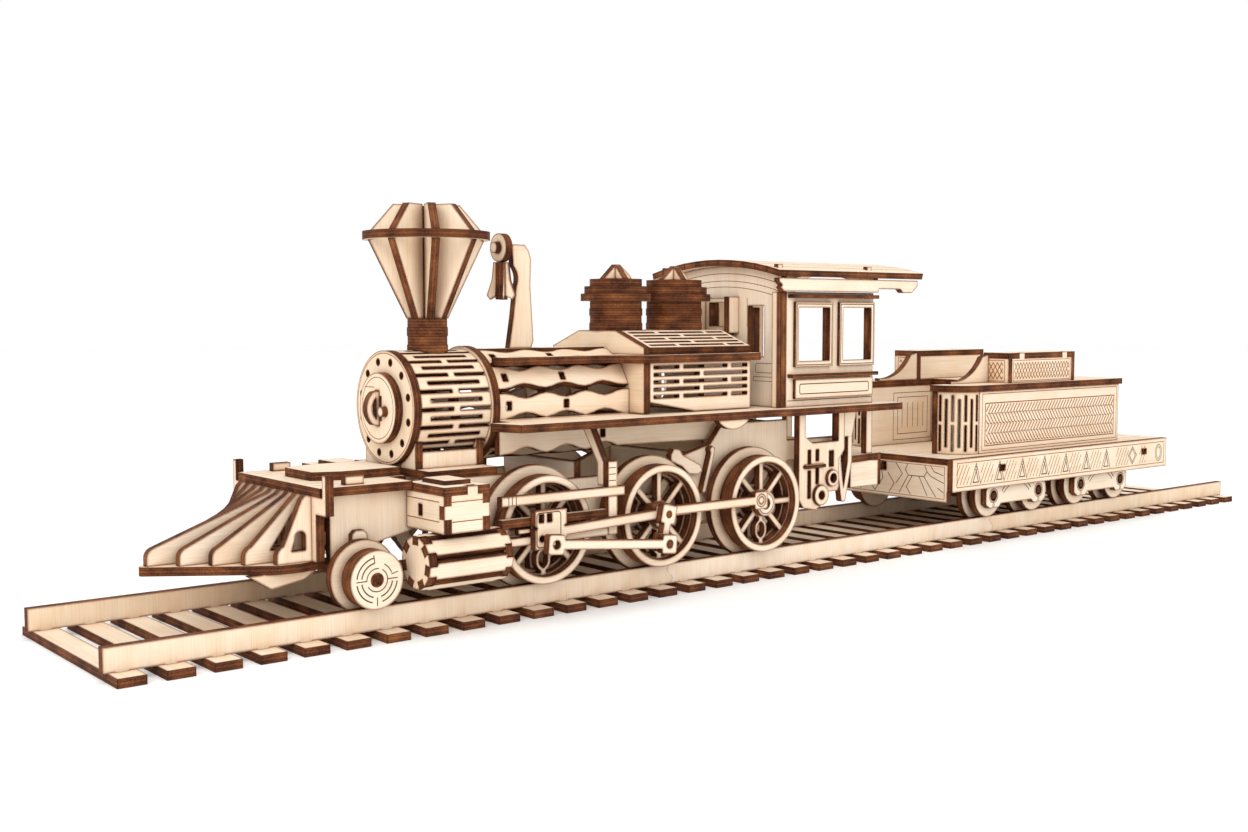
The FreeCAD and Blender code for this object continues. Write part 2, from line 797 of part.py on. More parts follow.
def upper_shelves():
    x0 = shelf_front
    x1 = cab_front - ply - 8.0
    inner = 15.0
    out = shelf_half
    hip = 24.0
    outline = [(x0, -inner), (x0, -hip + 2), (x0 + 4, -hip)]
    outline += wave(x0 + 4, firebox_front - 8, -hip, 2.5, 3)
    outline += [(firebox_front - 8, -hip), (firebox_front, -out), (x1 - 2, -out), (x1, -out + 2), (x1, -inner)]
    holes = [[(a, -inner - 4.5), ("arc", a - 2, -inner - 3), (a, -inner - 1.5), (a + 6, -inner - 3)]
             for a in (x0 + 8, x0 + 38)]
    return both([flat(outline, shelf_z, holes)])


def running_boards():
    # One board round the boiler on each side that widens into the cab floor.
    x0 = board_front
    x1 = board_rear
    narrow = board_neck
    wide = board_half
    inner = firebox_half - 2
    step = cab_front - 14
    side = [(x0, -inner), (x0 + 4, -narrow), (step, -narrow), (step + 10, -wide), (x1 - 1, -wide), (x1, -wide + 1)]
    outline = side + [(a, -b) for a, b in side[::-1]]
    hole_x = smokebox_rear + fit
    outline += [(hole_x, inner), (hole_x, boiler_r), (firebox_front, boiler_r), (firebox_front, -boiler_r),
                (hole_x, -boiler_r), (hole_x, -inner)]
    return [flat(outline, board_z)]


def board_hangers():
    # Shallow half-discs under the edge of the running boards.
    z = board_z
    return both([upright([(-82, z), ("arc", -73, z - 4.2), (-64, z)], -board_neck + 1.5)])


# ---- chimney, bell and domes ----
def stack_neck():
    pieces = []
    z = boiler_z + math.sqrt(boiler_r ** 2 - stack_neck_r ** 2)
    thick = (stack_neck_top - z) / 4
    for k in range(4):
        r = stack_neck_r - (0.25 if k % 2 else 0.0)
        pieces.append(flat(ring(stack_x, 0, r), z + k * thick, [], thick))
    hollow = Part.makeCylinder(boiler_r, 40, V(stack_x - 20, 0, boiler_z), V(1, 0, 0))
    pieces[0] = pieces[0].cut(hollow)
    return pieces


def stack_rib(inner):
    z0 = stack_neck_top
    z1 = stack_ring_z
    ledge = stack_ring_r - 2.0
    seat = stack_ring_r - 3.0
    outline = [(inner, z0), (stack_neck_r, z0), (ledge, z1), (seat, z1), (seat, z1 + ply), (seat + 0.4, z1 + ply),
               (stack_top_r, stack_top), (inner, stack_top)]
    return upright(outline, -ply / 2)


def stack_cone():
    inner = ply / 2 / math.tan(math.pi / stack_ribs) + 0.7
    pieces = []
    for k in range(stack_ribs):
        rib = turned(stack_rib(inner), V(0, 0, 0), V(0, 0, 1), (k + 0.5) * 360.0 / stack_ribs)
        rib.translate(V(stack_x, 0, 0))
        pieces.append(rib)
    core_r = inner - 0.2
    core = Part.makeCylinder(core_r, stack_top - 3 - stack_neck_top, V(stack_x, 0, stack_neck_top))
    return pieces + [core]


def stack_ring():
    return [flat(ring(stack_x, 0, stack_ring_r), stack_ring_z, [ring(stack_x, 0, stack_ring_r - 2.9)])]


def bell_post():
    base = boiler_z + boiler_r
    f = post_front
    outline = [(f - 1.5, base), (f + 0.5, base + 12), (f + 2.0, base + 24), ("arc", f + 2.6, base + 28),
               (f + 0.6, base + 32), (f, bell_z + 1.4), (f + 6, bell_z + 1.4), (f + 8, bell_z - 1), (f + 9, bell_z - 4),
               (f + 8.6, base + 24), (f + 10, base + 3), (f + 9, base)]
    bore = Part.makeCylinder(1.0 + shaft_play, 7, V(f - 1, 0, bell_z), V(1, 0, 0))
    plate = upright(outline, -ply / 2)
    return [plate.cut(bore)]


def bell():
    x = bell_x
    pin = Part.makeCylinder(1.0, post_front + 5 - (x + 1.5), V(x + 1.5, 0, bell_z), V(1, 0, 0))
    yoke = across(ring(0, bell_z, 5.5), x - 1.5)
    knob = across(ring(0, bell_z, 2.2), x - 3.7, [], 2.2)
    fins = []
    z0 = bell_z - 19.5
    z1 = bell_z - 5.6
    fin = upright([(1.7, z0 + 1), (4.4, z0 - 0.5), (5.6, z0 + 1.2), (3.6, z0 + 7), (2.9, z1), (1.7, z1)], -ply / 2)
    for k in range(4):
        piece = turned(fin, V(0, 0, 0), V(0, 0, 1), 45 + 90 * k)
        piece.translate(V(x, 0, 0))
        fins.append(piece)
    core = block(x - 1.0, x + 1.0, -1.0, 1.0, z0 + 2, z1)
    return [yoke, knob, pin, core] + fins


def dome(number):
    x = dome_xs[number]
    r = dome_rs[number]
    pieces = []
    z = firebox_crown
    for k in range(4):
        trim = 0.3 if k % 2 else 0.0
        pieces.append(flat(ring(x, 0, r - trim), z, []))
        z += ply
    for extra in (3.5, 2.0, -0.2):
        pieces.append(flat(ring(x, 0, r + extra), z, []))
        z += ply
    return pieces, z


def dome_cap(number):
    x = dome_xs[number]
    z = dome(number)[1]
    half = 7.5
    rise = 6.0
    plate = upright([(x - half, z), (x + half, z), (x + half - 1, z + 1.6), (x + 1, z + rise), (x - 1, z + rise)],
                    -ply / 2)
    fin = across([(-half + 1, z), (-ply / 2, z), (-ply / 2, z + rise - 1), (-1.6, z + rise - 0.6)], x - ply / 2)
    return [plate] + both([fin])


# ---- cab ----
def arch_z(y, base, rise, half):
    # Height of a shallow arc over a chord at height base.
    radius = (half ** 2 + rise ** 2) / (2 * rise)
    return base + rise - radius + math.sqrt(radius ** 2 - y ** 2)


def cab_wall_outline(low):
    h = cab_half
    top = arch_z(h, roof_edge, roof_rise, roof_half) - snug
    crown = roof_edge + roof_rise - snug
    return [(-h, low), (h, low), (h, top), ("arc", 0, crown), (-h, top)]


def cab_fronts():
    low = board_z + ply
    x = cab_front - ply
    windows = []
    for side in (-1, 1):
        a = sorted([side * 16.0, side * 26.0])
        windows.append(rect(a[0], a[1], 91.5, 113.2))
    mid = rect(-5.5, 5.5, 104.0, 115.0)
    front = across(cab_wall_outline(low), x, windows + [mid])
    h = cab_half
    top = arch_z(h, roof_edge, roof_rise, roof_half) - snug
    bow = arch_z(h - 8, roof_edge, roof_rise, roof_half)
    rear = across([(-h, 119.5), (-h + 8, 123.0), ("arc", 0, bow), (h - 8, 123.0), (h, 119.5), (h, top),
                   ("arc", 0, roof_edge + roof_rise - snug), (-h, top)], cab_rear)
    return [front, rear]


def cab_window_box():
    # Framed window that stands proud of the cab's front wall, with a shutter each side.
    x1 = cab_front - ply
    x0 = x1 - ply
    frame = across(rect(-7.5, 7.5, 102.4, 116.6), x0, [rect(-5.2, 5.2, 104.4, 114.6)])
    shutters = both([block(x0 - 3.2, x1, -10.6, -7.6, 101.4, 117.2)])
    sill = block(x0 - 2.0, x1, -7.5, 7.5, 100.6, 102.3)
    return [frame, sill] + shutters


def cab_sides():
    low = board_z + ply
    x0 = cab_front
    x1 = cab_rear
    wall = upright(rect(x0, x1, low, cab_high), -cab_half,
                   [rect(-32.5, -12.8, 89.4, 112.6), rect(-4.6, 14.2, 89.4, 112.6)])
    post = upright(rect(x0 - 5.5, x0 - ply - fit, low, cab_high), -cab_half, [])
    return both([wall, post])


def cab_frames():
    # Window frames, sill strips and lower panels that lie on the cab's sides.
    thick = 1.5
    y = -cab_half - thick
    front = upright(rect(-34.2, -10.9, 87.1, 114.8), y, [rect(-32.3, -13.0, 89.6, 112.4)], thick)
    back = upright(rect(-6.6, 16.3, 87.1, 114.8), y, [rect(-4.4, 14.0, 89.6, 112.4)], thick)
    ledge = block(-37.5, 17.5, y - 1.5, -cab_half, 82.6, 84.2)
    head = block(-37.5, 17.5, y - 1.5, -cab_half, 116.4, 118.0)
    panel = upright(rect(-34.2, 15.5, 73.6, 81.8), y, [], thick)
    return both([front, back, ledge, head, panel])


def cab_roof():
    # Narrow slats bent over the arches, each one flat strip.
    pieces = []
    half = roof_half
    radius = (half ** 2 + roof_rise ** 2) / (2 * roof_rise)
    total = 2 * math.asin(half / radius)
    step = total / roof_slats
    wide = 2 * radius * math.sin(step / 2) - 0.15
    centre = roof_edge + roof_rise - radius
    for k in range(roof_slats):
        a = (k - (roof_slats - 1) / 2) * step
        foot = centre + radius
        slat = block(roof_front, roof_rear, -wide / 2, wide / 2, foot, foot + ply - 0.3)
        pieces.append(turned(slat, V(0, 0, centre), V(1, 0, 0), math.degrees(a)))
    return pieces


def cab_valances():
    y = -roof_half + 1.0
    x0 = roof_front + 1.5
    x1 = roof_rear - 2.0
    top = roof_edge - 0.5
    low = 119.2
    outline = [(x0, top), (x0, top - 1.5), (x0 + 2, top - 3), (x0 + 1, low + 1.5), (x0 + 3, low), (cab_rear, low),
               (cab_rear, low + 1.6), (x1 - 12, low + 1.6), (x1 - 10, low), (x1 - 4, low), (x1, low + 3), (x1, top)]
    return both([upright(outline, y)])


# ---- cylinders and motion ----
def steam_chests():
    # Finger-jointed box: front, back and side plates under a tabbed lid.
    x0, x1 = chest_front, chest_rear
    y0, y1 = -chest_out, -chest_in
    z0, z1 = chest_low, chest_top - ply
    mid_low, mid_high = z0 + 5.0, z0 + 9.5
    side = upright([(x0 + ply, z0), (x1 - ply, z0), (x1 - ply, mid_low), (x1, mid_low), (x1, mid_high),
                    (x1 - ply, mid_high), (x1 - ply, z1), (x1 - 5, z1), (x1 - 5, chest_top), (x1 - 9, chest_top),
                    (x1 - 9, z1), (x0 + ply, z1), (x0 + ply, mid_high), (x0, mid_high), (x0, mid_low),
                    (x0 + ply, mid_low)], y0)
    notch = [(y0, z0), (y0, mid_low - fit), (y0 + ply, mid_low - fit), (y0 + ply, mid_high + fit), (y0, mid_high + fit),
             (y0, z1), (y1, z1), (y1, z0)]
    slot = rect(y0 + 14, y0 + 16.5, z0 + 5, z0 + 9)
    front = across(notch, x0, [slot])
    back = across(notch, x1 - ply, [slot])
    inner = upright(rect(x0 + ply, x1 - ply, z0, z1), y1 - ply)
    lid = flat([(x0, y0), (x1 - 9 - fit, y0), (x1 - 9 - fit, y0 + ply + fit), (x1 - 5 + fit, y0 + ply + fit),
                (x1 - 5 + fit, y0), (x1, y0), (x1, y1), (x0, y1)], z1)
    top = flat(rect(x0 + 4, x1 - 4, y0 + 6, y1 - 4), chest_top, [], 1.5)
    return both([side, front, back, inner, lid, top])


def cylinders():
    # Barrel of flat staves let into two end discs.
    staves = 7
    x0, x1 = cyl_front, cyl_rear
    centre = V(0, -cyl_y, cyl_z)
    apothem = cyl_r - ply + 0.2
    half = apothem * math.tan(math.pi / staves) - 0.05
    tab = 1.8
    pieces = []
    holes = []
    for k in range(staves):
        a = 360.0 / staves * k
        z0 = cyl_z + apothem
        flat_stave = flat([(x0 + ply, -cyl_y - half), (x1 - ply, -cyl_y - half), (x1 - ply, -cyl_y - tab),
                           (x1, -cyl_y - tab), (x1, -cyl_y + tab), (x1 - ply, -cyl_y + tab), (x1 - ply, -cyl_y + half),
                           (x0 + ply, -cyl_y + half), (x0 + ply, -cyl_y + tab), (x0, -cyl_y + tab),
                           (x0, -cyl_y - tab), (x0 + ply, -cyl_y - tab)], z0)
        pieces.append(turned(flat_stave, centre, V(1, 0, 0), a))
    slots = []
    for k in range(staves):
        cut = block(x0 - 1, x1 + 1, -cyl_y - tab - fit, -cyl_y + tab + fit, cyl_z + apothem - fit, cyl_z + cyl_r + 3)
        slots.append(turned(cut, centre, V(1, 0, 0), 360.0 / staves * k))
    heads = []
    for x in (x0, x1 - ply):
        head = across(ring(-cyl_y, cyl_z, cyl_r), x).cut(slots)
        heads.append(head)
    hanger_top = chest_low
    saddles = []
    for x in (x0 + 9, x1 - 14):
        saddles.append(block(x, x + ply, -cyl_y - 5, -cyl_y + 5, cyl_z + cyl_r + 0.25, hanger_top))
    return both(pieces + heads + saddles)


def guide_bars():
    y = -guide_y - ply
    x0 = cyl_rear
    x1 = hanger_x
    mid = (guide_low + guide_high) / 2
    slot = piston_rod_r + run
    low = upright(rect(x0, x1, guide_low, guide_low + guide_bar), y)
    high = upright(rect(x0, x1, guide_high - guide_bar, guide_high), y)
    back = upright([(x0, 41.8), (x1 + 8, 41.8), (x1 + 8, 45.2), (x0, 45.2)], y)
    packing = [upright(rect(x0, x0 + 3.2, guide_low + guide_bar, mid - slot), y),
               upright(rect(x0, x0 + 3.2, mid + slot, guide_high - guide_bar), y)]
    return both([low, high, back] + packing)


def motion_brackets():
    # Links that hang the guide bars, and slanted braces from them up to the running board.
    y = -guide_y - ply
    x = hanger_x
    wide = 4.4
    foot = upright([(x, guide_low), (x + wide, guide_low), (x + wide, 41.8), (x, 41.8)], y)
    head = upright([(x, 45.2), (x + wide, 45.2), (x + wide, 54.8), (x, 54.8)], y)
    brace = across([(-guide_y, 45.5), (-guide_y, 54.5), (-guide_y + 8, board_z), (-guide_y + 13, board_z),
                    (-guide_y + 3.5, 54), (-guide_y + 3.5, 45.5)], x)
    return both([foot, head, brace])


def pumps():
    # Ornamental pump plate under each side of the cab, on two posts.
    z = board_z
    y = -cab_half
    outline = [(-30, z), (-30, 30), (-27, 26), (-19, 24.5), (-14.5, 27), (-12.5, 32), (-5.5, 32), (-4.5, 34),
               (-4.5, 46), (-1, 50), (-1, z), (-5, z), (-5, 54), (-21.5, 54), (-26, 57), (-26, z)]
    holes = [ring(-17, 31, 1.8), rect(-24.5, -22.5, 30, 42), rect(-19.5, -17.5, 36, 43), ring(-9.6, 38, 2.0),
             rect(-24.5, -22.5, 45, 51), rect(-19.5, -17.5, 46, 51), rect(-11, -8, 43, 50)]
    plate = upright(outline, y, holes)
    bosses = [upright(ring(-17, 31, 4.4), y - 1.5, [ring(-17, 31, 1.9)], 1.5),
              upright(rect(-27, -14.5, 43.2, 44.6), y - 1.5, [], 1.5),
              upright(ring(-9.6, 38, 3.6), y - 1.5, [ring(-9.6, 38, 2.1)], 1.5)]
    return both([plate] + bosses)


def rear_frame():
    # Box and hangers behind the cab's underside, with the drawbar that reaches the tender.
    z = board_z
    y = -firebox_half
    hook = [(-2, 55), (-2, 44), (1.0, 28), ("arc", 2.6, 26), (4.2, 28), (8, 44), (8, 55), (5.2, 55), (5.2, 44),
            (2.6, 32), (0.8, 44), (0.8, 55)]
    hangers = both([upright(hook, y - 2.4)])
    stays = both([upright([(-2, 55.1), (8, 55.1), (11, z), (-2, z)], y - 2.4)])
    x0, x1 = frame_rear + fit, 34.0
    top = flat([(x0 - 4, -firebox_half), (x1, -firebox_half + 3), (x1, firebox_half - 3), (x0 - 4, firebox_half)], 42.8)
    sides = both([upright([(x0, 31), (x1 - 3, 31), (x1 - ply, 42.7), (x0, 42.7)], -firebox_half + 2)])
    rear = across(rect(-firebox_half + 3, firebox_half - 3, 31, 42.7), x1 - ply + 0.1,
                  [rect(-8, 8, drawbar_z - fit, drawbar_z + ply + fit)], ply - 0.1)
    posts = both([upright([(24, 45.9), (28, 45.9), (28, z), (24, z)], -firebox_half + 3.2)])
    return hangers + stays + [top, rear] + sides + posts


drawbar_z = 34.6
drawbar_pin_x = 71.0


def drawbar():
    x0 = 18.0
    x1 = drawbar_pin_x
    outline = [(x0, -5), (x1, -5), ("arc", x1 + 5, 0), (x1, 5), (x0, 5)]
    bar = flat(outline, drawbar_z, [ring(x1, 0, 2.0 + run)])
    carrier = block(x0, x0 + 8, -5, 5, drawbar_z + ply, 42.8)
    return [bar, carrier]


# ---- tender ----
def tender_frame():
    x0, x1 = beam_x0, beam_x1
    top = tender_deck + ply
    slots = [rect(x0 + 36, x0 + 41, 34.2, 37.2), rect(x1 - 25, x1 - 20, 34.2, 37.2)]
    beam = upright(rect(x0, x1, beam_low, top), -beam_y - ply, slots)
    beams = both([beam])
    h = beam_y
    notch = rect(-7, 7, drawbar_z - 2 * run, drawbar_z + ply + 2 * run)
    front = across(rect(-h, h, 21.5, tender_deck), x0, [notch])
    rear = across(rect(-h, h, beam_low, tender_deck), x1 - ply)
    bolsters = []
    for x in bogie_xs:
        bolsters.append(across(rect(-h, h, 34.5, tender_deck), x - ply / 2))
    pin = Part.makeCylinder(2.0, tender_deck - (drawbar_z - 2.5), V(drawbar_pin_x, 0, drawbar_z - 2.5))
    return beams + [front, rear, pin] + bolsters


def tender_floor():
    h = beam_y
    return [flat(rect(beam_x0, beam_x1, -h, h), tender_deck)]


def tank_outline(inset):
    # Near leg of the U-shaped tank, seen from above.
    c = tank_corner
    h = tank_half - inset
    x0 = tank_x0 + inset
    x1 = tank_x1 - inset
    s = c * (1 - math.sqrt(0.5))
    return [(x0, -tank_in), (x0, -h + c), ("arc", x0 + s, -h + s), (x0 + c, -h), (x1, -h)]


def tender_tank():
    # Side, inner and end sheets of the tank.
    z0 = tender_deck + ply
    z1 = tank_high - 0.1
    x0 = tank_x0 + tank_corner + fit
    side = upright(rect(x0, tank_x1, z0, z1), -tank_half)
    inner = upright(rect(tank_x0, tank_x1 - ply - fit, z0, z1), -tank_in - ply)
    rear = across(rect(-tank_half + ply + fit, tank_half - ply - fit, z0, z1), tank_x1 - ply)
    bulkhead = across(rect(-tank_in + fit, tank_in - fit, z0, z1), well_x1)
    return both([side, inner]) + [rear, bulkhead]


def corner_wraps():
    # Slitted sheet bent round the front corner of each leg.
    z0 = tender_deck + ply
    z1 = tank_high - 0.1
    c = tank_corner
    cx = tank_x0 + c
    cy = -tank_half + c
    thick = 2.0
    wedge = [(cx, cy), (cx - c - 4, cy), (cx - c - 4, cy - c - 4), (cx, cy - c - 4)]
    outer = Part.makeCylinder(c, z1 - z0, V(cx, cy, z0))
    inner = Part.makeCylinder(c - thick, z1 - z0, V(cx, cy, z0))
    quarter = outer.cut(inner).common(flat(wedge, z0, [], z1 - z0))
    cuts = []
    mid = (z0 + z1) / 2
    for k in range(7):
        a = 180 + 6.5 + k * 12.8
        spans = [(z0 + 1.6, mid - 0.9), (mid + 0.9, z1 - 1.6)] if k % 2 == 0 else [(z0 + 3.5, z1 - 3.5)]
        for low, high in spans:
            slit = Part.makeBox(6, 1.1, high - low, V(c - 4, -0.55, low))
            slit = turned(slit, V(0, 0, 0), V(0, 0, 1), a)
            slit.translate(V(cx, cy, 0))
            cuts.append(slit)
    return both([quarter.cut(cuts)])


def tank_top():
    lip = 1.6
    x0 = tank_x0 - lip
    x1 = tank_x1 + 0.8
    h = tank_half + lip
    c = tank_corner
    well = well_x1
    inner = tank_in - 0.4
    s = c * (1 - math.sqrt(0.5))
    outline = [(x0, -inner), (x0, -h + c), ("arc", x0 + s, -h + s), (x0 + c, -h), (x1, -h), (x1, h), (x0 + c, h),
               ("arc", x0 + s, h - s), (x0, h - c), (x0, inner), (well, inner), (well, -inner)]
    top = flat(outline, tank_high)
    lid = flat(ring(199, 0, 8.0), tank_high + ply, [])
    cap = flat(ring(199, 0, 5.0), tank_high + 2 * ply, [])
    return [top, lid, cap]


def tool_boxes():
    # Latticed boxes on the tank, one on each leg, and the curved plates at the coal well's sides.
    z0 = tank_high + ply
    z1 = z0 + box_high - ply
    y0 = -tank_half + 2.0
    y1 = -tank_in
    x0, x1 = box_x0, box_x1
    side = upright(rect(x0 + ply, x1 - ply, z0, z1), y0)
    inner = upright(rect(x0 + ply, x1 - ply, z0, z1), y1 - ply)
    front = across(rect(y0, y1, z0, z1), x0)
    back = across(rect(y0, y1, z0, z1), x1 - ply)
    tabs = [(x0 + 9, x0 + 13), (x1 - 11, x1 - 7)]
    lid_line = [(x0, y0)]
    for a, b in tabs:
        lid_line += [(a - fit, y0), (a - fit, y0 + ply), (b + fit, y0 + ply), (b + fit, y0)]
    lid_line += [(x1, y0), (x1, y1), (x0, y1)]
    lid = flat(lid_line, z1)
    tongues = [block(a, b, y0, y0 + ply - fit, z1, z1 + ply) for a, b in tabs]
    cheek_x0 = tank_x0 + 10
    cheek = upright([(cheek_x0, z0), (x0 - 0.2, z0), (x0 - 0.2, z1 + ply - 1), (x0 - 5, z1 + ply - 2),
                     ("arc", cheek_x0 + 14.5, z0 + 3.8), (cheek_x0, z0 + 1.4)], y1 - ply)
    return both([side, inner, front, back, lid, cheek] + tongues)


def bogie_frames(number):
    # Side plates with an arch between the axle boxes, and a cross beam on the swivel pin.
    xc = bogie_xs[number]
    half = bogie_base / 2
    y = -tender_tread_out - run - ply
    z = tender_z
    r = axle_r + shaft_play
    outline = [(xc - half - 6, z - 4), (xc - half - 3, z - 6), (xc - half + 4, z - 6), (xc - half + 6, z - 4.2),
               (xc + half - 6, z - 4.2), (xc + half - 4, z - 6), (xc + half + 3, z - 6), (xc + half + 6, z - 4),
               (xc + half + 6, z + 3), (xc + half, z + 9.5), (xc - half, z + 9.5), (xc - half - 6, z + 3)]
    holes = [ring(xc - half, z, r), ring(xc + half, z, r)]
    return both([upright(outline, y, holes)])


def bogie_bolster(number):
    xc = bogie_xs[number]
    y = tender_tread_out + run
    z = tender_z
    beam = block(xc - 4, xc + 4, -y, y, z + 4.0, z + 4.0 + ply)
    post = Part.makeCylinder(3.0, 34.5 - run - (z + 4.0 + ply), V(xc, 0, z + 4.0 + ply))
    return [beam, post]


save("sleepers", sleepers())
save("rail_near", rail(-rail_out))
save("rail_far", rail(rail_in))
save("frame_plates", frame_plates())
save("frame_spreaders", frame_spreaders())
save("pilot_hangers", pilot_hangers())
save("buffer_beam", buffer_beam())
save("front_deck", front_deck())
save("pilot_base", pilot_base())
save("cowcatcher_ribs", cowcatcher_ribs())
save("saddle", saddle())
save("smokebox_rings", smokebox_rings())
save("smokebox_door", smokebox_door())
save("smokebox_wrap", smokebox_wrap())
save("boiler_bulkheads", boiler_rings() + firebox_rings())
save("boiler_strips", boiler_strips() + belly_plates())
save("firebox_wrap", firebox_wrap())
save("upper_shelves", upper_shelves())
save("running_boards", running_boards() + board_hangers())
save("stack_neck", stack_neck())
save("stack_cone", stack_cone())
save("stack_ring", stack_ring())
save("bell_post", bell_post())
save("bell", bell())
save("dome_front", dome(0)[0])
save("dome_rear", dome(1)[0])
save("dome_caps", dome_cap(0) + dome_cap(1))
save("cab_fronts", cab_fronts())
save("cab_window_box", cab_window_box())
save("cab_sides", cab_sides())
save("cab_frames", cab_frames())
save("cab_roof", cab_roof())
save("cab_valances", cab_valances())
save("steam_chests", steam_chests())
save("cylinders", cylinders())
save("guide_bars", guide_bars())
save("motion_brackets", motion_brackets())
save("pumps", pumps())
save("rear_frame", rear_frame())
save("drawbar", drawbar())
save("pilot_wheels", plain_set(pilot_x, pilot_z, pilot_r, pilot_lip, tread_out))
for number in range(len(driver_xs)):
    save("driver_wheels_%d" % (number + 1), driver_set(number))
save("coupling_rods", coupling_rods())
save("valve_rods", valve_rods())
save("main_rods", main_rods())
save("crossheads", crossheads())
save("tender_frame", tender_frame() + tender_floor())
save("tender_tank", tender_tank())
save("corner_wraps", corner_wraps())
save("tank_top", tank_top())
save("tool_boxes", tool_boxes())
for number in range(len(bogie_xs)):
    name = ("front", "rear")[number]
    save("bogie_%s" % name, bogie_frames(number) + bogie_bolster(number))
    for end, shift in (("lead", -0.5), ("trail", 0.5)):
        x = bogie_xs[number] + shift * bogie_base
        save("tender_wheels_%s_%s" % (name, end), plain_set(x, tender_z, tender_r, tender_lip, tender_tread_out))
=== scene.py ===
import math
import random

import bmesh
import bpy
import numpy as np
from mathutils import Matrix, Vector


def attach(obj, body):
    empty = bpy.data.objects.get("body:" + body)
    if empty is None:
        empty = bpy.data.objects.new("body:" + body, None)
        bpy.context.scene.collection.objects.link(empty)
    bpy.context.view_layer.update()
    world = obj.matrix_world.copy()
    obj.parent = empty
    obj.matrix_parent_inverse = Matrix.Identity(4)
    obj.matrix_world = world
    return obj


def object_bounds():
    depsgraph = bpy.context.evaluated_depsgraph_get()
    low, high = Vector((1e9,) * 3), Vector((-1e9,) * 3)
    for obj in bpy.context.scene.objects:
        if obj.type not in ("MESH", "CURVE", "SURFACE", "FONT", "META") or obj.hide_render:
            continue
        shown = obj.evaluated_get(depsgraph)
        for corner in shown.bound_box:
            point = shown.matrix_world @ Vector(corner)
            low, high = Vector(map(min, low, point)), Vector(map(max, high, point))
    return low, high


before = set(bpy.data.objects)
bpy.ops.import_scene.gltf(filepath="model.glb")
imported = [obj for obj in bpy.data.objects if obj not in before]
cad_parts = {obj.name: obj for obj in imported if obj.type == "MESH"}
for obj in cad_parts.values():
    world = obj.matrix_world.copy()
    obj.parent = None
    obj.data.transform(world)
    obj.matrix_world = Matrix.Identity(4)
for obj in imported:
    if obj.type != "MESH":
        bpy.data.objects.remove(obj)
cad_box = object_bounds()

# A laser-cut plywood locomotive and tender on a ply track. Every piece is 3 mm birch ply: a pale
# sanded veneer on its two faces, a browned laser-cut edge all round, and fine scored lines.
# Sizes are in mm. x runs along the track from the engine to the tender, y across it and z up.

MM = 0.001
PLY = 3.0               # thickness of the sheet
BOILER_Z = 75.4         # height of the smokebox's and boiler's middle


# ---------- materials ----------
WOOD_IOR = 1.5
BEAM_BAND = PLY / 2.5   # five plies make two and a half pairs of light and dark bands
FACE_RIM, EDGE_RIM = 1.4, 1.3       # width of the scorched rim on a face and on an edge
FACE_GAP_SHADE, EDGE_GAP_SHADE = 7.0, 5.0     # how far the painted shade reaches out of a gap, on a face and on an edge
RAYS = 6                # rays that look for a rim or a gap


def ink(code):
    # sRGB hex to linear RGBA.
    parts = [int(code[i:i + 2], 16) / 255 for i in (1, 3, 5)]
    return tuple([c / 12.92 if c <= 0.04045 else ((c + 0.055) / 1.055) ** 2.4 for c in parts]
                 + [1.0])


def add(tree, kind, settings):
    # Adds one node. A setting is one of its own properties, or a socket by name or number, which
    # takes a plain value or another node's output. "stops" are a ramp's places and hex colours.
    node = tree.nodes.new(kind)
    for key, value in settings.items():
        if key == "stops":
            ramp = node.color_ramp
            while len(ramp.elements) < len(value):
                ramp.elements.new(0.5)
            for element, (place, code) in zip(ramp.elements, value):
                element.position = place
                element.color = ink(code)
        elif isinstance(key, str) and key not in node.inputs:
            setattr(node, key, value)
        elif isinstance(value, bpy.types.NodeSocket):
            tree.links.new(value, node.inputs[key])
        else:
            node.inputs[key].default_value = value
    return node


def new_material(name, roughness, specular):
    made = bpy.data.materials.new(name)
    made.use_nodes = True
    tree = made.node_tree
    tree.nodes.clear()
    shader = add(tree, "ShaderNodeBsdfPrincipled", {
        "Roughness": roughness, "Specular IOR Level": specular, "IOR": WOOD_IOR})
    add(tree, "ShaderNodeOutputMaterial", {"Surface": shader.outputs[0]})
    return made, tree, shader


def sheet_reading(tree):
    # What dress() writes on each sheet: the place on it in mm (along the grain, across it, and
    # depth through the ply), and a number from 0 to 1 for each piece.
    place = add(tree, "ShaderNodeAttribute", {"attribute_name": "ply_place"}).outputs["Vector"]
    piece = add(tree, "ShaderNodeAttribute", {"attribute_name": "ply_piece"}).outputs["Fac"]
    return place, piece


def fibres(tree, place, along, across, detail=3.0, rough=0.6):
    # Noise drawn out along the grain: "along" and "across" are sizes in mm.
    drawn = add(tree, "ShaderNodeMapping", {
        "Scale": (1 / along, 1 / across, 1 / across), "Vector": place})
    return add(tree, "ShaderNodeTexNoise", {
        "Scale": 1.0, "Detail": detail, "Roughness": rough, "Vector": drawn.outputs[0]}).outputs[0]


def blended(tree, shares):
    # Several patterns added up, each by its share.
    total = None
    for pattern, share in reversed(shares):
        part = add(tree, "ShaderNodeMath", {"operation": "MULTIPLY", 0: pattern, 1: share})
        if total is not None:
            part = add(tree, "ShaderNodeMath", {
                "operation": "ADD", 0: part.outputs[0], 1: total})
        total = part.outputs[0]
    return total


def toned(tree, pattern, low, high, stops):
    # Colours of the wood along a pattern that runs from "low" to "high".
    tone = add(tree, "ShaderNodeMapRange", {0: pattern, 1: low, 2: high, 3: 0.0, 4: 1.0})
    return add(tree, "ShaderNodeValToRGB", {0: tone.outputs[0], "stops": stops}).outputs[0]


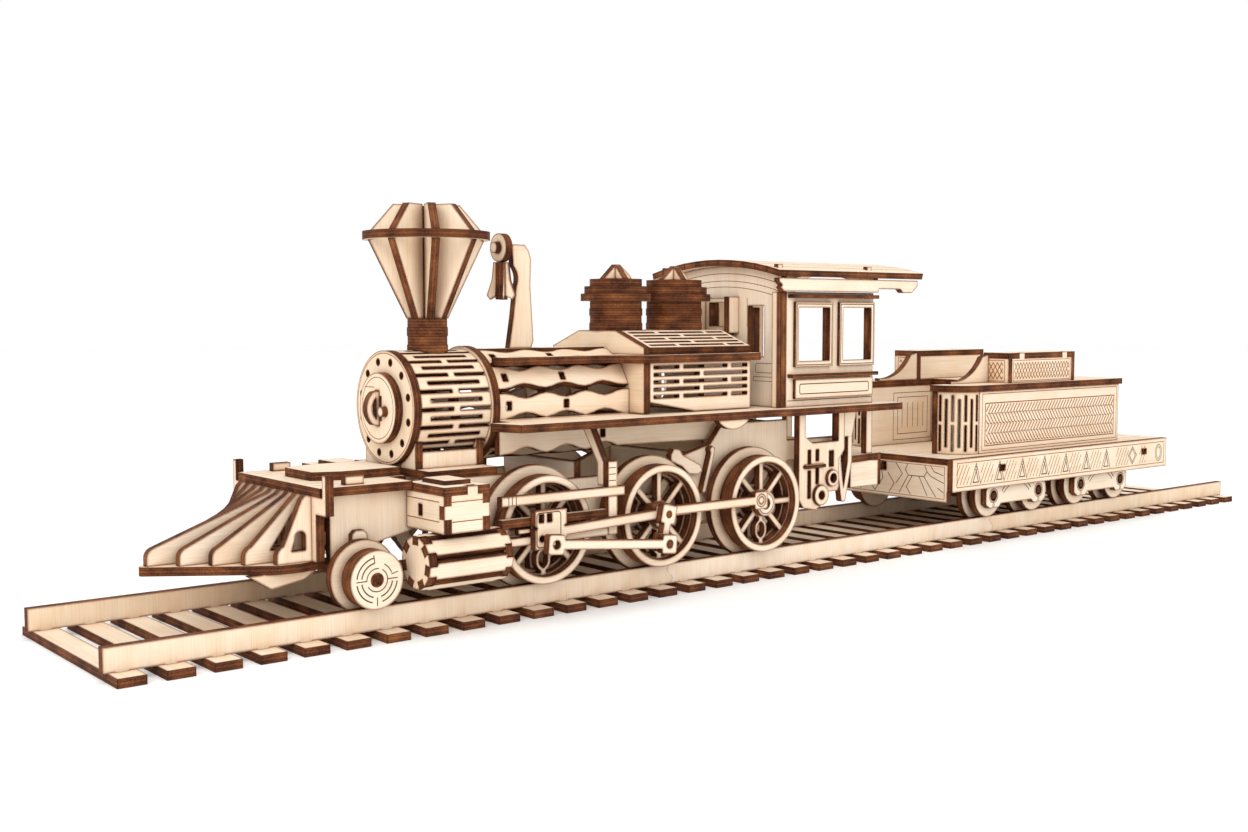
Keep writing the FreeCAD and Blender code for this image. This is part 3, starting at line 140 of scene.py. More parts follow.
def darkened(tree, colour, pattern, low, high, most, dark, way="MIX"):
    # A colour made darker: not at all where the pattern is "low", and by "most" at "high". It
    # draws the stains and scorch, and also the painted shade in gaps.
    amount = add(tree, "ShaderNodeMapRange", {0: pattern, 1: low, 2: high, 3: 0.0, 4: most})
    return add(tree, "ShaderNodeMix", {
        "data_type": "RGBA", "blend_type": way,
        0: amount.outputs[0], 6: colour, 7: ink(dark)}).outputs[2]


def scorch_rim(tree, width):
    # 0 on the open face, rising to 1 within "width" mm of a cut edge.
    rounded = add(tree, "ShaderNodeBevel", {"samples": RAYS, "Radius": width * MM})
    flat = add(tree, "ShaderNodeNewGeometry", {})
    match = add(tree, "ShaderNodeVectorMath", {
        "operation": "DOT_PRODUCT", 0: rounded.outputs[0], 1: flat.outputs["True Normal"]})
    return add(tree, "ShaderNodeMapRange", {
        0: match.outputs["Value"], 1: 0.997, 2: 0.84, 3: 0.0, 4: 1.0}).outputs[0]


def shaded_in_gaps(tree, colour, reach, dark):
    # Painted shade: the colour darkens in narrow gaps and inner corners, where shade falls.
    open_air = add(tree, "ShaderNodeAmbientOcclusion", {"samples": RAYS, "Distance": reach * MM})
    return darkened(tree, colour, open_air.outputs["AO"], 0.75, 0.1, 0.75, dark, "MULTIPLY")


def surfaced(tree, shader, colour, pattern, strength, depth):
    # Gives the shader its colour and a fine relief, "depth" in mm.
    relief = add(tree, "ShaderNodeBump", {
        "Strength": strength, "Distance": depth * MM, "Height": pattern})
    tree.links.new(colour, shader.inputs["Base Color"])
    tree.links.new(relief.outputs[0], shader.inputs["Normal"])


def varied_gloss(tree, shader, pattern, rough, smooth):
    gloss = add(tree, "ShaderNodeMapRange", {0: pattern, 1: 0.3, 2: 0.7, 3: rough, 4: smooth})
    tree.links.new(gloss.outputs[0], shader.inputs["Roughness"])


def birch_face(name, pale, mid, deep):
    # Sanded birch veneer: satin cream with fine silky fibres, short dark pores and a soot-brown
    # rim at each cut. The fibres and pores are drawn coarser than real ones, so that they show.
    made, tree, shader = new_material(name, 0.62, 0.25)
    place, piece = sheet_reading(tree)
    fine = fibres(tree, place, 26.0, 0.4)
    broad = fibres(tree, place, 90.0, 4.0, 2.0)
    pore = fibres(tree, place, 7.0, 0.35, 2.0, 0.5)
    cloud = fibres(tree, place, 22.0, 14.0, 2.0)
    colour = toned(tree, blended(tree, [(fine, 0.7), (broad, 0.3)]), 0.26, 0.70,
                   [(0.0, deep), (0.45, mid), (1.0, pale)])
    colour = darkened(tree, colour, piece, 0.0, 1.0, 0.34, "#EDD6B4", "MULTIPLY")
    colour = darkened(tree, colour, cloud, 0.45, 0.75, 0.3, "#EBD0AC", "MULTIPLY")
    colour = darkened(tree, colour, pore, 0.64, 0.78, 0.3, "#B98A58")
    rim = scorch_rim(tree, FACE_RIM)
    colour = darkened(tree, colour, rim, 0.0, 0.6, 0.9, "#B4652A")
    colour = darkened(tree, colour, rim, 0.45, 1.0, 0.95, "#5A2A12")
    # Painted shade in narrow gaps and inner corners of the veneer.
    colour = shaded_in_gaps(tree, colour, FACE_GAP_SHADE, "#8A6040")
    surfaced(tree, shader, colour, fine, 0.25, 0.08)
    varied_gloss(tree, shader, fine, 0.7, 0.56)
    return made


def burnt_edge(name, pale, mid, deep):
    # Laser-cut edge: matt scorched brown, speckled and patchy where the beam burnt deeper, with
    # the plies just showing as bands.
    made, tree, shader = new_material(name, 0.8, 0.2)
    place, piece = sheet_reading(tree)
    speck = add(tree, "ShaderNodeTexNoise", {
        "Scale": 2.2, "Detail": 4.0, "Roughness": 0.7, "Vector": place}).outputs[0]
    spread_out = add(tree, "ShaderNodeMapping", {"Scale": (1 / 9.0,) * 3, "Vector": place})
    patch = add(tree, "ShaderNodeTexNoise", {
        "Scale": 1.0, "Detail": 2.0, "Vector": spread_out.outputs[0]}).outputs[0]
    depth = add(tree, "ShaderNodeSeparateXYZ", {0: place}).outputs[2]
    turn = add(tree, "ShaderNodeMath", {
        "operation": "MULTIPLY", 0: depth, 1: math.tau / BEAM_BAND})
    bands = add(tree, "ShaderNodeMath", {"operation": "SINE", 0: turn.outputs[0], 1: 0.0})
    tone = blended(tree, [(speck, 0.5), (patch, 0.5), (bands.outputs[0], 0.05)])
    colour = toned(tree, tone, 0.36, 0.66, [(0.0, deep), (0.5, mid), (1.0, pale)])
    colour = darkened(tree, colour, piece, 0.0, 1.0, 0.5, "#A9816A", "MULTIPLY")
    colour = darkened(tree, colour, scorch_rim(tree, EDGE_RIM), 0.0, 1.0, 0.85, "#2E140A")
    # Painted shade in narrow gaps and inner corners of the cut edge.
    colour = shaded_in_gaps(tree, colour, EDGE_GAP_SHADE, "#5A3524")
    surfaced(tree, shader, colour, tone, 0.5, 0.15)
    varied_gloss(tree, shader, speck, 0.9, 0.68)
    return made


def scored_line(name, pale, deep):
    # Line scored by a low-power beam: toasted brown, uneven along its length.
    made, tree, shader = new_material(name, 0.75, 0.15)
    where = add(tree, "ShaderNodeTexCoord", {}).outputs["Object"]
    uneven = add(tree, "ShaderNodeTexNoise", {
        "Scale": 900.0, "Detail": 3.0, "Vector": where}).outputs[0]
    colour = toned(tree, uneven, 0.35, 0.65, [(0.0, deep), (1.0, pale)])
    surfaced(tree, shader, colour, uneven, 0.4, 0.05)
    return made


def white_card(name):
    # Matt white card under the model: almost even, with a faint tooth.
    made, tree, shader = new_material(name, 0.9, 0.1)
    where = add(tree, "ShaderNodeTexCoord", {}).outputs["Object"]
    tooth = add(tree, "ShaderNodeTexNoise", {
        "Scale": 60.0, "Detail": 2.0, "Vector": where}).outputs[0]
    colour = add(tree, "ShaderNodeValToRGB", {
        0: tooth, "stops": [(0.0, "#FCFCFB"), (1.0, "#FFFFFF")]}).outputs[0]
    tree.links.new(colour, shader.inputs["Base Color"])
    return made


veneer = birch_face("birch_veneer_sanded", "#F7EAD9", "#EEDCC5", "#DFC6A8")
edge = burnt_edge("birch_ply_laser_edge", "#9C6236", "#6C3E21", "#321609")
toasted = scored_line("scored_line_amber", "#A8692F", "#7A461E")
charred = scored_line("scored_line_dark", "#5E341C", "#33190D")


# ---------- reading each sheet's lie ----------
FLAT_SHEET = PLY + 0.25     # a solid up to this thick is surely one flat sheet
SHEET_LIKE = PLY + 0.3      # a solid up to this thick shows veneer
FACE_ON = 0.85              # a face looking this nearly along the sheet's normal is veneer
ALONG_AXIS = 0.8            # a normal this nearly along an axis counts as facing it
GRAIN_LENGTH = 1.15         # grain turns across only if the piece is this much longer that way
DIRECTIONS_TRIED = 12

# Plates cut with their grain upright.
GRAIN_UP = {"frame_plates", "rail_near", "rail_far", "saddle", "stack_cone", "cab_sides",
            "cab_fronts"}

# Bent pieces: the axis they are rolled about, and where it passes.
ROLLED = {"smokebox_wrap": ("x", [(0.0, BOILER_Z)]),
          "corner_wraps": ("z", [(93.0, 24.0), (93.0, -24.0)])}


def solids_of(mesh):
    # Corner points in mm, each face's corners, and the number of the solid each face belongs to.
    # Faces are joined over shared edges. Where two pieces touch, an edge has four faces or more:
    # each is joined to the one met first on the way round through its own wood.
    co = np.zeros(len(mesh.vertices) * 3)
    mesh.vertices.foreach_get("co", co)
    co = co.reshape(-1, 3) / MM
    _, same = np.unique(np.round(co, 3), axis=0, return_inverse=True)
    same = same.ravel().tolist()
    faces = [list(p.vertices) for p in mesh.polygons]
    normals = [np.array(p.normal[:]) for p in mesh.polygons]
    parent = list(range(len(faces)))

    def root(k):
        while parent[k] != k:
            parent[k] = parent[parent[k]]
            k = parent[k]
        return k

    edges = {}
    for f, corners in enumerate(faces):
        for a, b in zip(corners, corners[1:] + corners[:1]):
            ends = (min(same[a], same[b]), max(same[a], same[b]))
            edges.setdefault(ends, []).append((f, same[a] < same[b], a, b))
    for uses in edges.values():
        if len(uses) == 2:
            parent[root(uses[0][0])] = root(uses[1][0])
            continue
        for f, ahead, a, b in uses:
            if not ahead:
                continue
            way = co[b] - co[a]
            way /= np.linalg.norm(way) + 1e-12
            into = np.cross(normals[f], way)
            met = []
            for g, other_ahead, _, _ in uses:
                if not other_ahead:
                    side = np.cross(normals[g], -way)
                    turn = math.atan2(side @ -normals[f], side @ into) % math.tau
                    met.append((turn if turn > 0.001 else math.tau, g))
            if met:
                parent[root(f)] = root(min(met)[1])
    labels = [root(f) for f in range(len(faces))]
    numbers = {k: i for i, k in enumerate(dict.fromkeys(labels))}
    return co, faces, np.array([numbers[k] for k in labels])


def lie_of(points, normals, areas, grain_up):
    # The sheet's normal, its thickness, and its grain direction: upright, or the longest way in
    # its plane. The normal is the one that has the most area for the least thickness.
    looks = {}
    for n, a in zip(normals, areas):
        if n[np.argmax(np.abs(n))] < 0:
            n = -n
        key = tuple(np.round(n, 2) + 0.0)
        looks[key] = looks.get(key, 0.0) + a
    best = None
    for key, area in sorted(looks.items(), key=lambda look: -look[1])[:DIRECTIONS_TRIED]:
        n = np.array(key) / np.linalg.norm(key)
        thick = np.ptp(points @ n)
        score = area * (4.0 if thick < FLAT_SHEET else 1.0) / max(thick, 1.0)
        if best is None or score > best[0]:
            best = (score, n, thick)
    _, n, thick = best
    upright = grain_up and abs(n[2]) < ALONG_AXIS
    helper = np.array([0, 0, 1.0] if upright or abs(n[0]) > ALONG_AXIS else [1.0, 0, 0])
    u = helper - n * (helper @ n)
    u /= np.linalg.norm(u)
    v = np.cross(n, u)
    if not upright and np.ptp(points @ v) > GRAIN_LENGTH * np.ptp(points @ u):
        u, v = v, u
    return n, thick, u, v


def rolled_away(node, corners):
    # Direction away from the roll's axis at a face, and the axis itself.
    axis, centres = ROLLED[node]
    flat = corners.mean(axis=0)[[1, 2] if axis == "x" else [0, 1]]
    centre = min(centres, key=lambda c: math.hypot(flat[0] - c[0], flat[1] - c[1]))
    out = (flat - np.array(centre)) / np.linalg.norm(flat - np.array(centre))
    if axis == "x":
        return np.array([0.0, out[0], out[1]]), np.array([1.0, 0.0, 0.0])
    return np.array([out[0], out[1], 0.0]), np.array([0.0, 0.0, 1.0])


def dress(node, obj):
    # Gives one node's faces their veneer or burnt edge, and writes what sheet_reading() reads.
    mesh = obj.data
    co, faces, solid = solids_of(mesh)
    normals = np.array([p.normal[:] for p in mesh.polygons])
    areas = np.array([p.area for p in mesh.polygons])
    place = np.zeros((len(mesh.loops), 3))
    number = np.zeros(len(faces))
    index = np.zeros(len(faces), dtype=np.int32)
    starts = np.array([p.loop_start for p in mesh.polygons])
    draw = random.Random(node)
    for s in range(solid.max() + 1):
        mine = np.nonzero(solid == s)[0]
        points = co[sorted(set(v for f in mine for v in faces[f]))]
        n, thick, u, v = lie_of(points, normals[mine], areas[mine], node in GRAIN_UP)
        sheet_like = node in ROLLED or thick < SHEET_LIKE
        shift = (draw.uniform(0, 900), draw.uniform(0, 900))
        number[mine] = draw.random()
        for f in mine:
            corners = co[faces[f]]
            at = starts[f] + np.arange(len(faces[f]))
            if node in ROLLED:
                n, u = rolled_away(node, corners)
                v = np.cross(n, u)
            place[at, 0] = corners @ u + shift[0]
            place[at, 1] = corners @ v + shift[1]
            place[at, 2] = corners @ n - (points @ n).min()
            # Painted shade: the smokebox wrap's inside stays browned with the burnt-edge colour
            # instead of veneer, so that its slits look dark as if shaded within.
            looks_out = normals[f] @ n if node == "smokebox_wrap" else abs(normals[f] @ n)
            index[f] = 0 if sheet_like and looks_out > FACE_ON else 1
    mesh.materials.clear()
    mesh.materials.append(veneer)
    mesh.materials.append(edge)
    mesh.polygons.foreach_set("material_index", index)
    mesh.attributes.new("ply_place", "FLOAT_VECTOR", "CORNER").data.foreach_set(
        "vector", place.ravel())
    mesh.attributes.new("ply_piece", "FLOAT", "FACE").data.foreach_set("value", number)


for node, obj in sorted(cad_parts.items()):
    dress(node, obj)


def ply_piece(name, body, level, outline, thick=PLY):
    # A small sheet standing along the track on both sides of the engine, from "level" outwards;
    # its points are (x, z).
    shape = bmesh.new()
    for side in (1, -1):
        near, far = [[shape.verts.new((x * MM, side * y * MM, z * MM)) for x, z in outline]
                     for y in (level, level + thick)]
        shape.faces.new(near)
        shape.faces.new(far)
        for k in range(len(outline)):
            after = (k + 1) % len(outline)
            shape.faces.new((near[k], near[after], far[after], far[k]))
    bmesh.ops.recalc_face_normals(shape, faces=shape.faces)
    mesh = bpy.data.meshes.new(name)
    shape.to_mesh(mesh)
    shape.free()
    obj = bpy.data.objects.new(name, mesh)
    bpy.context.scene.collection.objects.link(obj)
    dress(name, obj)
    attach(obj, body)


SPRING_LEVEL = 27.05    # inner face of the spring pieces, clear of the frame plates
PEG_WIDTH, PEG_FOOT, PEG_TOP = 3, 127, 130.6

ply_piece("pilot_tenons", "engine", 27.0,
          [(-241, 31.6), (-235, 31.6), (-235, 35), (-236.4, 36.4), (-239.6, 36.4), (-241, 35)],
          thick=2.4)
ply_piece("spring_arms", "engine", SPRING_LEVEL,
          [(-98, 53), (-96.2, 55.6), (-93, 55), (-91.5, 52.8), (-81.8, 48.2), (-80.6, 45.6),
           (-83, 44.2), (-88, 44.8), (-92, 48.2), (-97.6, 50.6)])
ply_piece("spring_posts", "engine", SPRING_LEVEL,
          [(-81.0, 36.5), (-78.8, 36.5), (-74.0, 52.4), (-73.6, 54.6), (-75.2, 55.6),
           (-76.6, 54.2), (-76, 52.6)])
for number, x in enumerate((-44.6, 11.6)):
    ply_piece("roof_peg_%d" % (number + 1), "engine", 34.6,
              [(x, PEG_FOOT), (x + PEG_WIDTH, PEG_FOOT), (x + PEG_WIDTH, PEG_TOP), (x, PEG_TOP)],
              thick=2.2)


# ---------- scored lines ----------
LINE_PROUD = 0.03       # a line's crust stands this far above the veneer
LINE_SUNK = 0.05        # and goes this far into it
SHARPEST = 0.4          # limits how far a line's corner runs out at a sharp turn
SHORTEST = 0.02         # share of a hatching line that is too short to score
TOAST, CHAR = 0, 1
MIDDLE = (1,)           # a face across the engine's middle has no twin on the far side


def circle(x, y, r, start=0.0, end=360.0, steps=40):
    # "steps" is the count for a full turn.
    count = max(4, int(steps * abs(end - start) / 360))
    turns = [math.radians(start + (end - start) * k / count) for k in range(count + 1)]
    return [(x + r * math.cos(t), y + r * math.sin(t)) for t in turns]


def frame_line(a0, a1, b0, b1, r=0.0):
    # Closed rectangle, with rounded corners when r is given.
    if r == 0:
        return [(a0, b0), (a1, b0), (a1, b1), (a0, b1), (a0, b0)]
    line = []
    for x, y, start in ((a1 - r, b0 + r, -90), (a1 - r, b1 - r, 0),
                        (a0 + r, b1 - r, 90), (a0 + r, b0 + r, 180)):
        line += circle(x, y, r, start, start + 90, 16)
    return line + line[:1]


def square(x, y, half):
    return [(x - half, y - half), (x + half, y - half), (x + half, y + half), (x - half, y + half)]


def trimmed(p, q, a0, a1, b0, b1):
    # The part of a straight line from p to q that lies inside a rectangle, or nothing.
    t0, t1 = 0.0, 1.0
    for start, step, low, high in ((p[0], q[0] - p[0], a0, a1), (p[1], q[1] - p[1], b0, b1)):
        if abs(step) < 1e-9:
            if not low <= start <= high:
                return []
            continue
        near, far = sorted(((low - start) / step, (high - start) / step))
        t0, t1 = max(t0, near), min(t1, far)
    if t1 - t0 < SHORTEST:
        return []
    return [[(p[0] + (q[0] - p[0]) * t, p[1] + (q[1] - p[1]) * t) for t in (t0, t1)]]


def hatch(a0, a1, b0, b1, pitch, lean):
    # Slanting lines filling a rectangle; lean is the run along per rise up.
    high = b1 - b0
    lines = []
    at = a0 - abs(lean) * high
    while at < a1 + abs(lean) * high:
        lines += trimmed((at, b0), (at + lean * high, b1), a0, a1, b0, b1)
        at += pitch
    return lines


class Scoring:
    # Gathers the scored lines of one moving body and cuts them as one piece. A face is the axis
    # it looks along, its place on that axis, and 1 or -1 for the way it looks. Each line is
    # repeated on the far side of the track unless "sides" says otherwise.
    def __init__(self, body):
        self.body = body
        self.mesh = bmesh.new()

    def spots(self, points, face, side):
        axis, level, out = face
        made = []
        for a, b, h in points:
            rise = level + out * h
            spot = {"x": (rise, a * side, b), "y": (a, rise * side, b),
                    "z": (a, b * side, rise)}[axis]
            made.append(self.mesh.verts.new([c * MM for c in spot]))
        return made

    def line(self, face, run, width=0.32, tone=TOAST, sides=(1, -1)):
        # A ribbon along a run of points; a run that ends where it starts is closed.
        closed = math.dist(run[0], run[-1]) < 0.001 and len(run) > 3
        points = [Vector(p) for p in (run[:-1] if closed else run)]
        rows = []
        for i, p in enumerate(points):
            ways = []
            if i or closed:
                ways.append((p - points[i - 1]).normalized())
            if i < len(points) - 1 or closed:
                ways.append((points[(i + 1) % len(points)] - p).normalized())
            way = sum(ways, Vector((0, 0))).normalized()
            reach = width / 2 / max(SHARPEST, way.dot(ways[0]))
            off = Vector((-way.y, way.x)) * reach
            rows.append((p + off, p - off))
        for side in sides:
            rings = [self.spots([(l.x, l.y, -LINE_SUNK), (r.x, r.y, -LINE_SUNK),
                                 (r.x, r.y, LINE_PROUD), (l.x, l.y, LINE_PROUD)], face, side)
                     for l, r in rows]
            made = []
            for k in range(len(rings) if closed else len(rings) - 1):
                here, then = rings[k], rings[(k + 1) % len(rings)]
                made += [self.mesh.faces.new((here[j], here[(j + 1) % 4], then[(j + 1) % 4],
                                              then[j])) for j in range(4)]
            if not closed:
                made += [self.mesh.faces.new(rings[0][::-1]), self.mesh.faces.new(rings[-1])]
            for face_made in made:
                face_made.material_index = tone

    def lines(self, face, runs, **how):
        for run in runs:
            self.line(face, run, **how)

    def patch(self, face, outline, sides=(1, -1)):
        # A burnt patch: a thin plate of char.
        for side in sides:
            low, high = [self.spots([(a, b, h) for a, b in outline], face, side)
                         for h in (-LINE_SUNK, LINE_PROUD)]
            made = [self.mesh.faces.new(low), self.mesh.faces.new(high)]
            for k in range(len(low)):
                after = (k + 1) % len(low)
                made.append(self.mesh.faces.new((low[k], low[after], high[after], high[k])))
            for face_made in made:
                face_made.material_index = CHAR

    def cut(self):
        bmesh.ops.recalc_face_normals(self.mesh, faces=self.mesh.faces)
        mesh = bpy.data.meshes.new("scored_" + self.body)
        self.mesh.to_mesh(mesh)
        self.mesh.free()
        mesh.materials.append(toasted)
        mesh.materials.append(charred)
        obj = bpy.data.objects.new("scored_" + self.body, mesh)
        bpy.context.scene.collection.objects.link(obj)
        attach(obj, self.body)


engine = Scoring("engine")
tender = Scoring("tender")

# Smokebox front: a line inside the rim and a burnt ring round each of its twelve bolts. On the
# door, a line inside its rim, a short line above the handle and a burnt bar at the hinge.
SMOKEBOX_RING = ("x", -211, -1)
SMOKEBOX_DOOR = ("x", -214, -1)
BOLTS, BOLT_CIRCLE = 12, 17.2
engine.line(SMOKEBOX_RING, circle(0, BOILER_Z, 20.0, steps=72), width=0.3, sides=MIDDLE)
for k in range(BOLTS):
    turn = math.radians(30 * k + 15)
    engine.line(SMOKEBOX_RING,
                circle(BOLT_CIRCLE * math.cos(turn), BOILER_Z + BOLT_CIRCLE * math.sin(turn),
                       1.25, steps=16), width=0.5, tone=CHAR, sides=MIDDLE)
engine.line(SMOKEBOX_DOOR, circle(0, BOILER_Z, 11.3, steps=60), width=0.3, sides=MIDDLE)
engine.line(SMOKEBOX_DOOR, [(2.2, BOILER_Z + 7.6), (9.0, BOILER_Z + 7.6)], width=0.3,
            sides=MIDDLE)
engine.patch(SMOKEBOX_DOOR, [(-3.2, BOILER_Z - 4.6), (-0.1, BOILER_Z - 4.6),
                             (-0.1, BOILER_Z + 4.6), (-3.2, BOILER_Z + 4.6)], sides=MIDDLE)

# Steam chests: two lines along the side and the front.
for z in (39.5, 46.3):
    engine.line(("y", 52, 1), [(-215.4, z), (-203.1, z)], width=0.35)
    engine.line(("x", -218.5, -1), [(28, z), (48.9, z)], width=0.35)

# Front deck: three short plank lines on each side, behind the beam.
for y in (17, 23, 29):
    engine.line(("z", 52, 1), [(-252, y), (-240, y)], width=0.2)

# Cab front: arcs following the roof, an upright line and small panels under the window.
CAB_FRONT = ("x", -41.5, -1)
CAB_HALF, ROOF_RISE, ROOF_TOP = 36, 5.2, 130.5
for drop in (3.2, 6.4, 9.0):
    arc = [(y, ROOF_TOP - drop - ROOF_RISE * (y / CAB_HALF) ** 2) for y in range(-35, 36, 2)]
    engine.line(CAB_FRONT, arc, width=0.3, sides=MIDDLE)
engine.line(CAB_FRONT, [(15.5, 104), (15.5, 116.6)], width=0.3)
engine.line(CAB_FRONT, frame_line(21.0, 33.4, 84.6, 88.6, 0.8), width=0.3)
engine.line(CAB_FRONT, frame_line(19.6, 35.0, 81.0, 82.8, 0.4), width=0.25)

# Dark joints between the roof slats, seen on their front ends.
for y, top in ((3.7, 133.1), (11.1, 132.8), (18.5, 132.2), (25.8, 131.2), (33.1, 129.9)):
    engine.line(("x", -47.4, -1), [(y, top - 2.8), (y, top)], width=0.6, tone=CHAR)

# Cab sides: a line round each window, the long lower panel, and lines on the wall and ledge.
CAB_FRAME = ("y", 37.5, 1)
for x0, x1 in ((-34.2, -10.9), (-6.6, 16.3)):
    engine.line(CAB_FRAME, frame_line(x0 + 0.8, x1 - 0.8, 88.0, 113.9), width=0.35, tone=CHAR)
engine.line(CAB_FRAME, frame_line(-31.5, 12.6, 75.6, 79.8, 0.8), width=0.4, tone=CHAR)
engine.line(("y", 36, 1), [(-37.5, 72.8), (16.5, 72.8)], width=0.3, tone=CHAR)
engine.line(("y", 39, 1), [(-37, 83.0), (17, 83.0)], width=0.25)

# Tender side: a double border and a herringbone of slanted bars in four rows.
TANK_SIDE = ("y", 38, 1)
ROW_FOOT, ROW_PITCH, BAR_PITCH = 46.5, 4.85, 2.5
tender.line(TANK_SIDE, frame_line(95.6, 213.2, 43.6, 71.0), width=0.35)
tender.line(TANK_SIDE, frame_line(98.0, 210.6, 45.8, 66.4), width=0.55)
for row in range(4):
    low = ROW_FOOT + row * ROW_PITCH
    way = 1 if row % 2 else -1
    tender.lines(TANK_SIDE, hatch(98.7, 209.9, low, low + 4.75, BAR_PITCH, 0.75 * way), width=0.6)
    tender.lines(TANK_SIDE, hatch(99.4, 209.2, low, low + 0.5, BAR_PITCH, 1.6 * way), width=0.5,
                 tone=CHAR)

# Tender beams: border, slanted lines between dark triangles, a diamond and an oval at the rear.
BEAM = ("y", 46.6, 1)
BEAM_LINE = 0.36
BEAM_FOOT, BEAM_HEAD, BEAM_MIDDLE = 29.6, 39.0, 34.3
BEAM_PITCH, BEAM_LEAN = 2.6, 0.55
DIAMOND_X, OVAL_X = 216, 242
tender.line(BEAM, frame_line(65.5, 247.5, 28.6, 40.0), width=BEAM_LINE)
for k in range(7):
    x = 80 + k * 18.5
    tender.lines(BEAM, hatch(x - 15, x - 5.2, BEAM_FOOT, BEAM_HEAD, BEAM_PITCH, BEAM_LEAN),
                 width=BEAM_LINE)
    tender.line(BEAM, [(x - 4.4, 29.2), (x, 39.2), (x + 3.6, 29.2)], width=BEAM_LINE, tone=CHAR)
    tender.line(BEAM, [(x - 2.4, 30.2), (x, 35.6), (x + 1.8, 30.2), (x - 2.4, 30.2)], width=0.5,
                tone=CHAR)
    tender.line(BEAM, circle(x - 0.2, 36.8, 0.8, steps=12), width=0.35, tone=CHAR)
tender.lines(BEAM, hatch(200, 212, BEAM_FOOT, BEAM_HEAD, BEAM_PITCH, BEAM_LEAN), width=BEAM_LINE)
for inset in (0.0, 1.2):
    tender.line(BEAM, [(DIAMOND_X - 4 + inset, BEAM_MIDDLE), (DIAMOND_X, 39 - inset),
                       (DIAMOND_X + 4 - inset, BEAM_MIDDLE), (DIAMOND_X, 29.6 + inset),
                       (DIAMOND_X - 4 + inset, BEAM_MIDDLE)], width=BEAM_LINE, tone=CHAR)
    tender.line(BEAM, [(OVAL_X + (3.2 - inset) * math.cos(t / 12 * math.pi),
                        BEAM_MIDDLE + (4.4 - inset) * math.sin(t / 12 * math.pi))
                       for t in range(25)], width=BEAM_LINE, tone=CHAR)
tender.lines(BEAM, hatch(223, 229, BEAM_FOOT, BEAM_HEAD, BEAM_PITCH, BEAM_LEAN), width=BEAM_LINE)

# Tender end plate: border, a six-sided frame round the slot and slanted lines to the corners.
END_PLATE = ("x", 62, -1)
tender.line(END_PLATE, frame_line(-42, 42, 23.0, 38.2), width=0.28, sides=MIDDLE)
tender.lines(END_PLATE, (
    [(20.2, 38.0), (18.8, 35.2), (20.6, 32.6), (30.0, 32.6), (31.8, 35.2), (30.4, 38.0)],
    [(31.8, 35), (34.4, 33), (41.6, 30.5)], [(30, 32.6), (37, 23.6)], [(27, 32.6), (32, 23.6)],
    [(20.6, 32.6), (15, 23.6)], [(34, 38), (36, 35.5), (41.6, 34)], [(38, 28), (41.6, 26)],
    [(13, 38), (17, 33), (13, 28)], [(23, 32.6), (19.5, 27), (22, 23.6)],
    [(9, 23.6), (12, 28), (8, 33)], [(0, 23.6), (5, 30), (3, 38)]), width=0.36, tone=CHAR)

# Tool boxes: a lattice of crossed lines inside a border.
BOX_OUTER, BOX_INNER, BOX_FRONT = ("y", 36, 1), ("y", 24, -1), ("x", 119, -1)
LATTICE_FOOT, LATTICE_HEAD, LATTICE_PITCH, LATTICE_LEAN = 77.4, 85.6, 2.5, 0.62
tender.line(BOX_OUTER, frame_line(123.0, 172.0, 76.4, 86.6), width=0.3)
for lean in (LATTICE_LEAN, -LATTICE_LEAN):
    for face, start, end in ((BOX_OUTER, 124.0, 171.0), (BOX_INNER, 124.0, 171.0),
                             (BOX_FRONT, 24.4, 32.6)):
        tender.lines(face, hatch(start, end, LATTICE_FOOT, LATTICE_HEAD, LATTICE_PITCH, lean),
                     width=0.45)
tender.line(BOX_FRONT, frame_line(23.4, 33.6, 76.4, 86.6), width=0.3)

# Coal well: nested panels with five upright lines on the inner faces of the legs.
LEG_INNER = ("y", 21, -1)
tender.line(LEG_INNER, frame_line(100.5, 131.0, 44.4, 68.8), width=0.3, tone=CHAR)
tender.line(LEG_INNER, frame_line(103.8, 128.0, 47.4, 66.4), width=0.3, tone=CHAR)
for k in range(5):
    x = 107.5 + 4.2 * k
    tender.line(LEG_INNER, [(x, 50.6), (x, 63.6)], width=0.3, tone=CHAR)

# Tender deck: plank lines at both ends.
for y in range(-40, 41, 8):
    for x0, x1 in ((62.6, 78.6), (216.0, 249.4)):
        tender.line(("z", 42, 1), [(x0, y), (x1, y)], width=0.25, sides=MIDDLE)

# Short marks: three upright ones on the guide bars, three level ones on the motion brackets.
BAR_SIDE = ("y", 46, 1)
for x in (-188.0, -186.5, -184.8):
    engine.line(BAR_SIDE, [(x, 42.0), (x, 45.0)], width=0.3, tone=CHAR)
for z in (47.6, 50.0, 52.4):
    engine.line(BAR_SIDE, [(-142.6, z), (-139.4, z)], width=0.3, tone=CHAR)
engine.cut()
tender.cut()

# Bogie frames: an arch in two lines, burnt hub squares, each with a ring and a small round peg.
BOGIE_SIDE = ("y", 43, 1)
for body, middle in (("bogie_front", 117.5), ("bogie_rear", 192.0)):
    bogie = Scoring(body)
    for hub in (-18.5, 18.5):
        x = middle + hub
        bogie.line(BOGIE_SIDE, circle(x, 21.8, 3.4, steps=28), width=0.35, tone=CHAR)
        bogie.patch(BOGIE_SIDE, square(x, 21.8, 1.5))
        bogie.line(BOGIE_SIDE, circle(x, 17.2, 0.7, steps=12), width=0.3, tone=CHAR)
    for r, width in ((16.0, 0.5), (14.2, 0.4)):
        bogie.line(BOGIE_SIDE, circle(middle, 13.0, r, 42, 138, 60), width=width, tone=CHAR)
    bogie.cut()

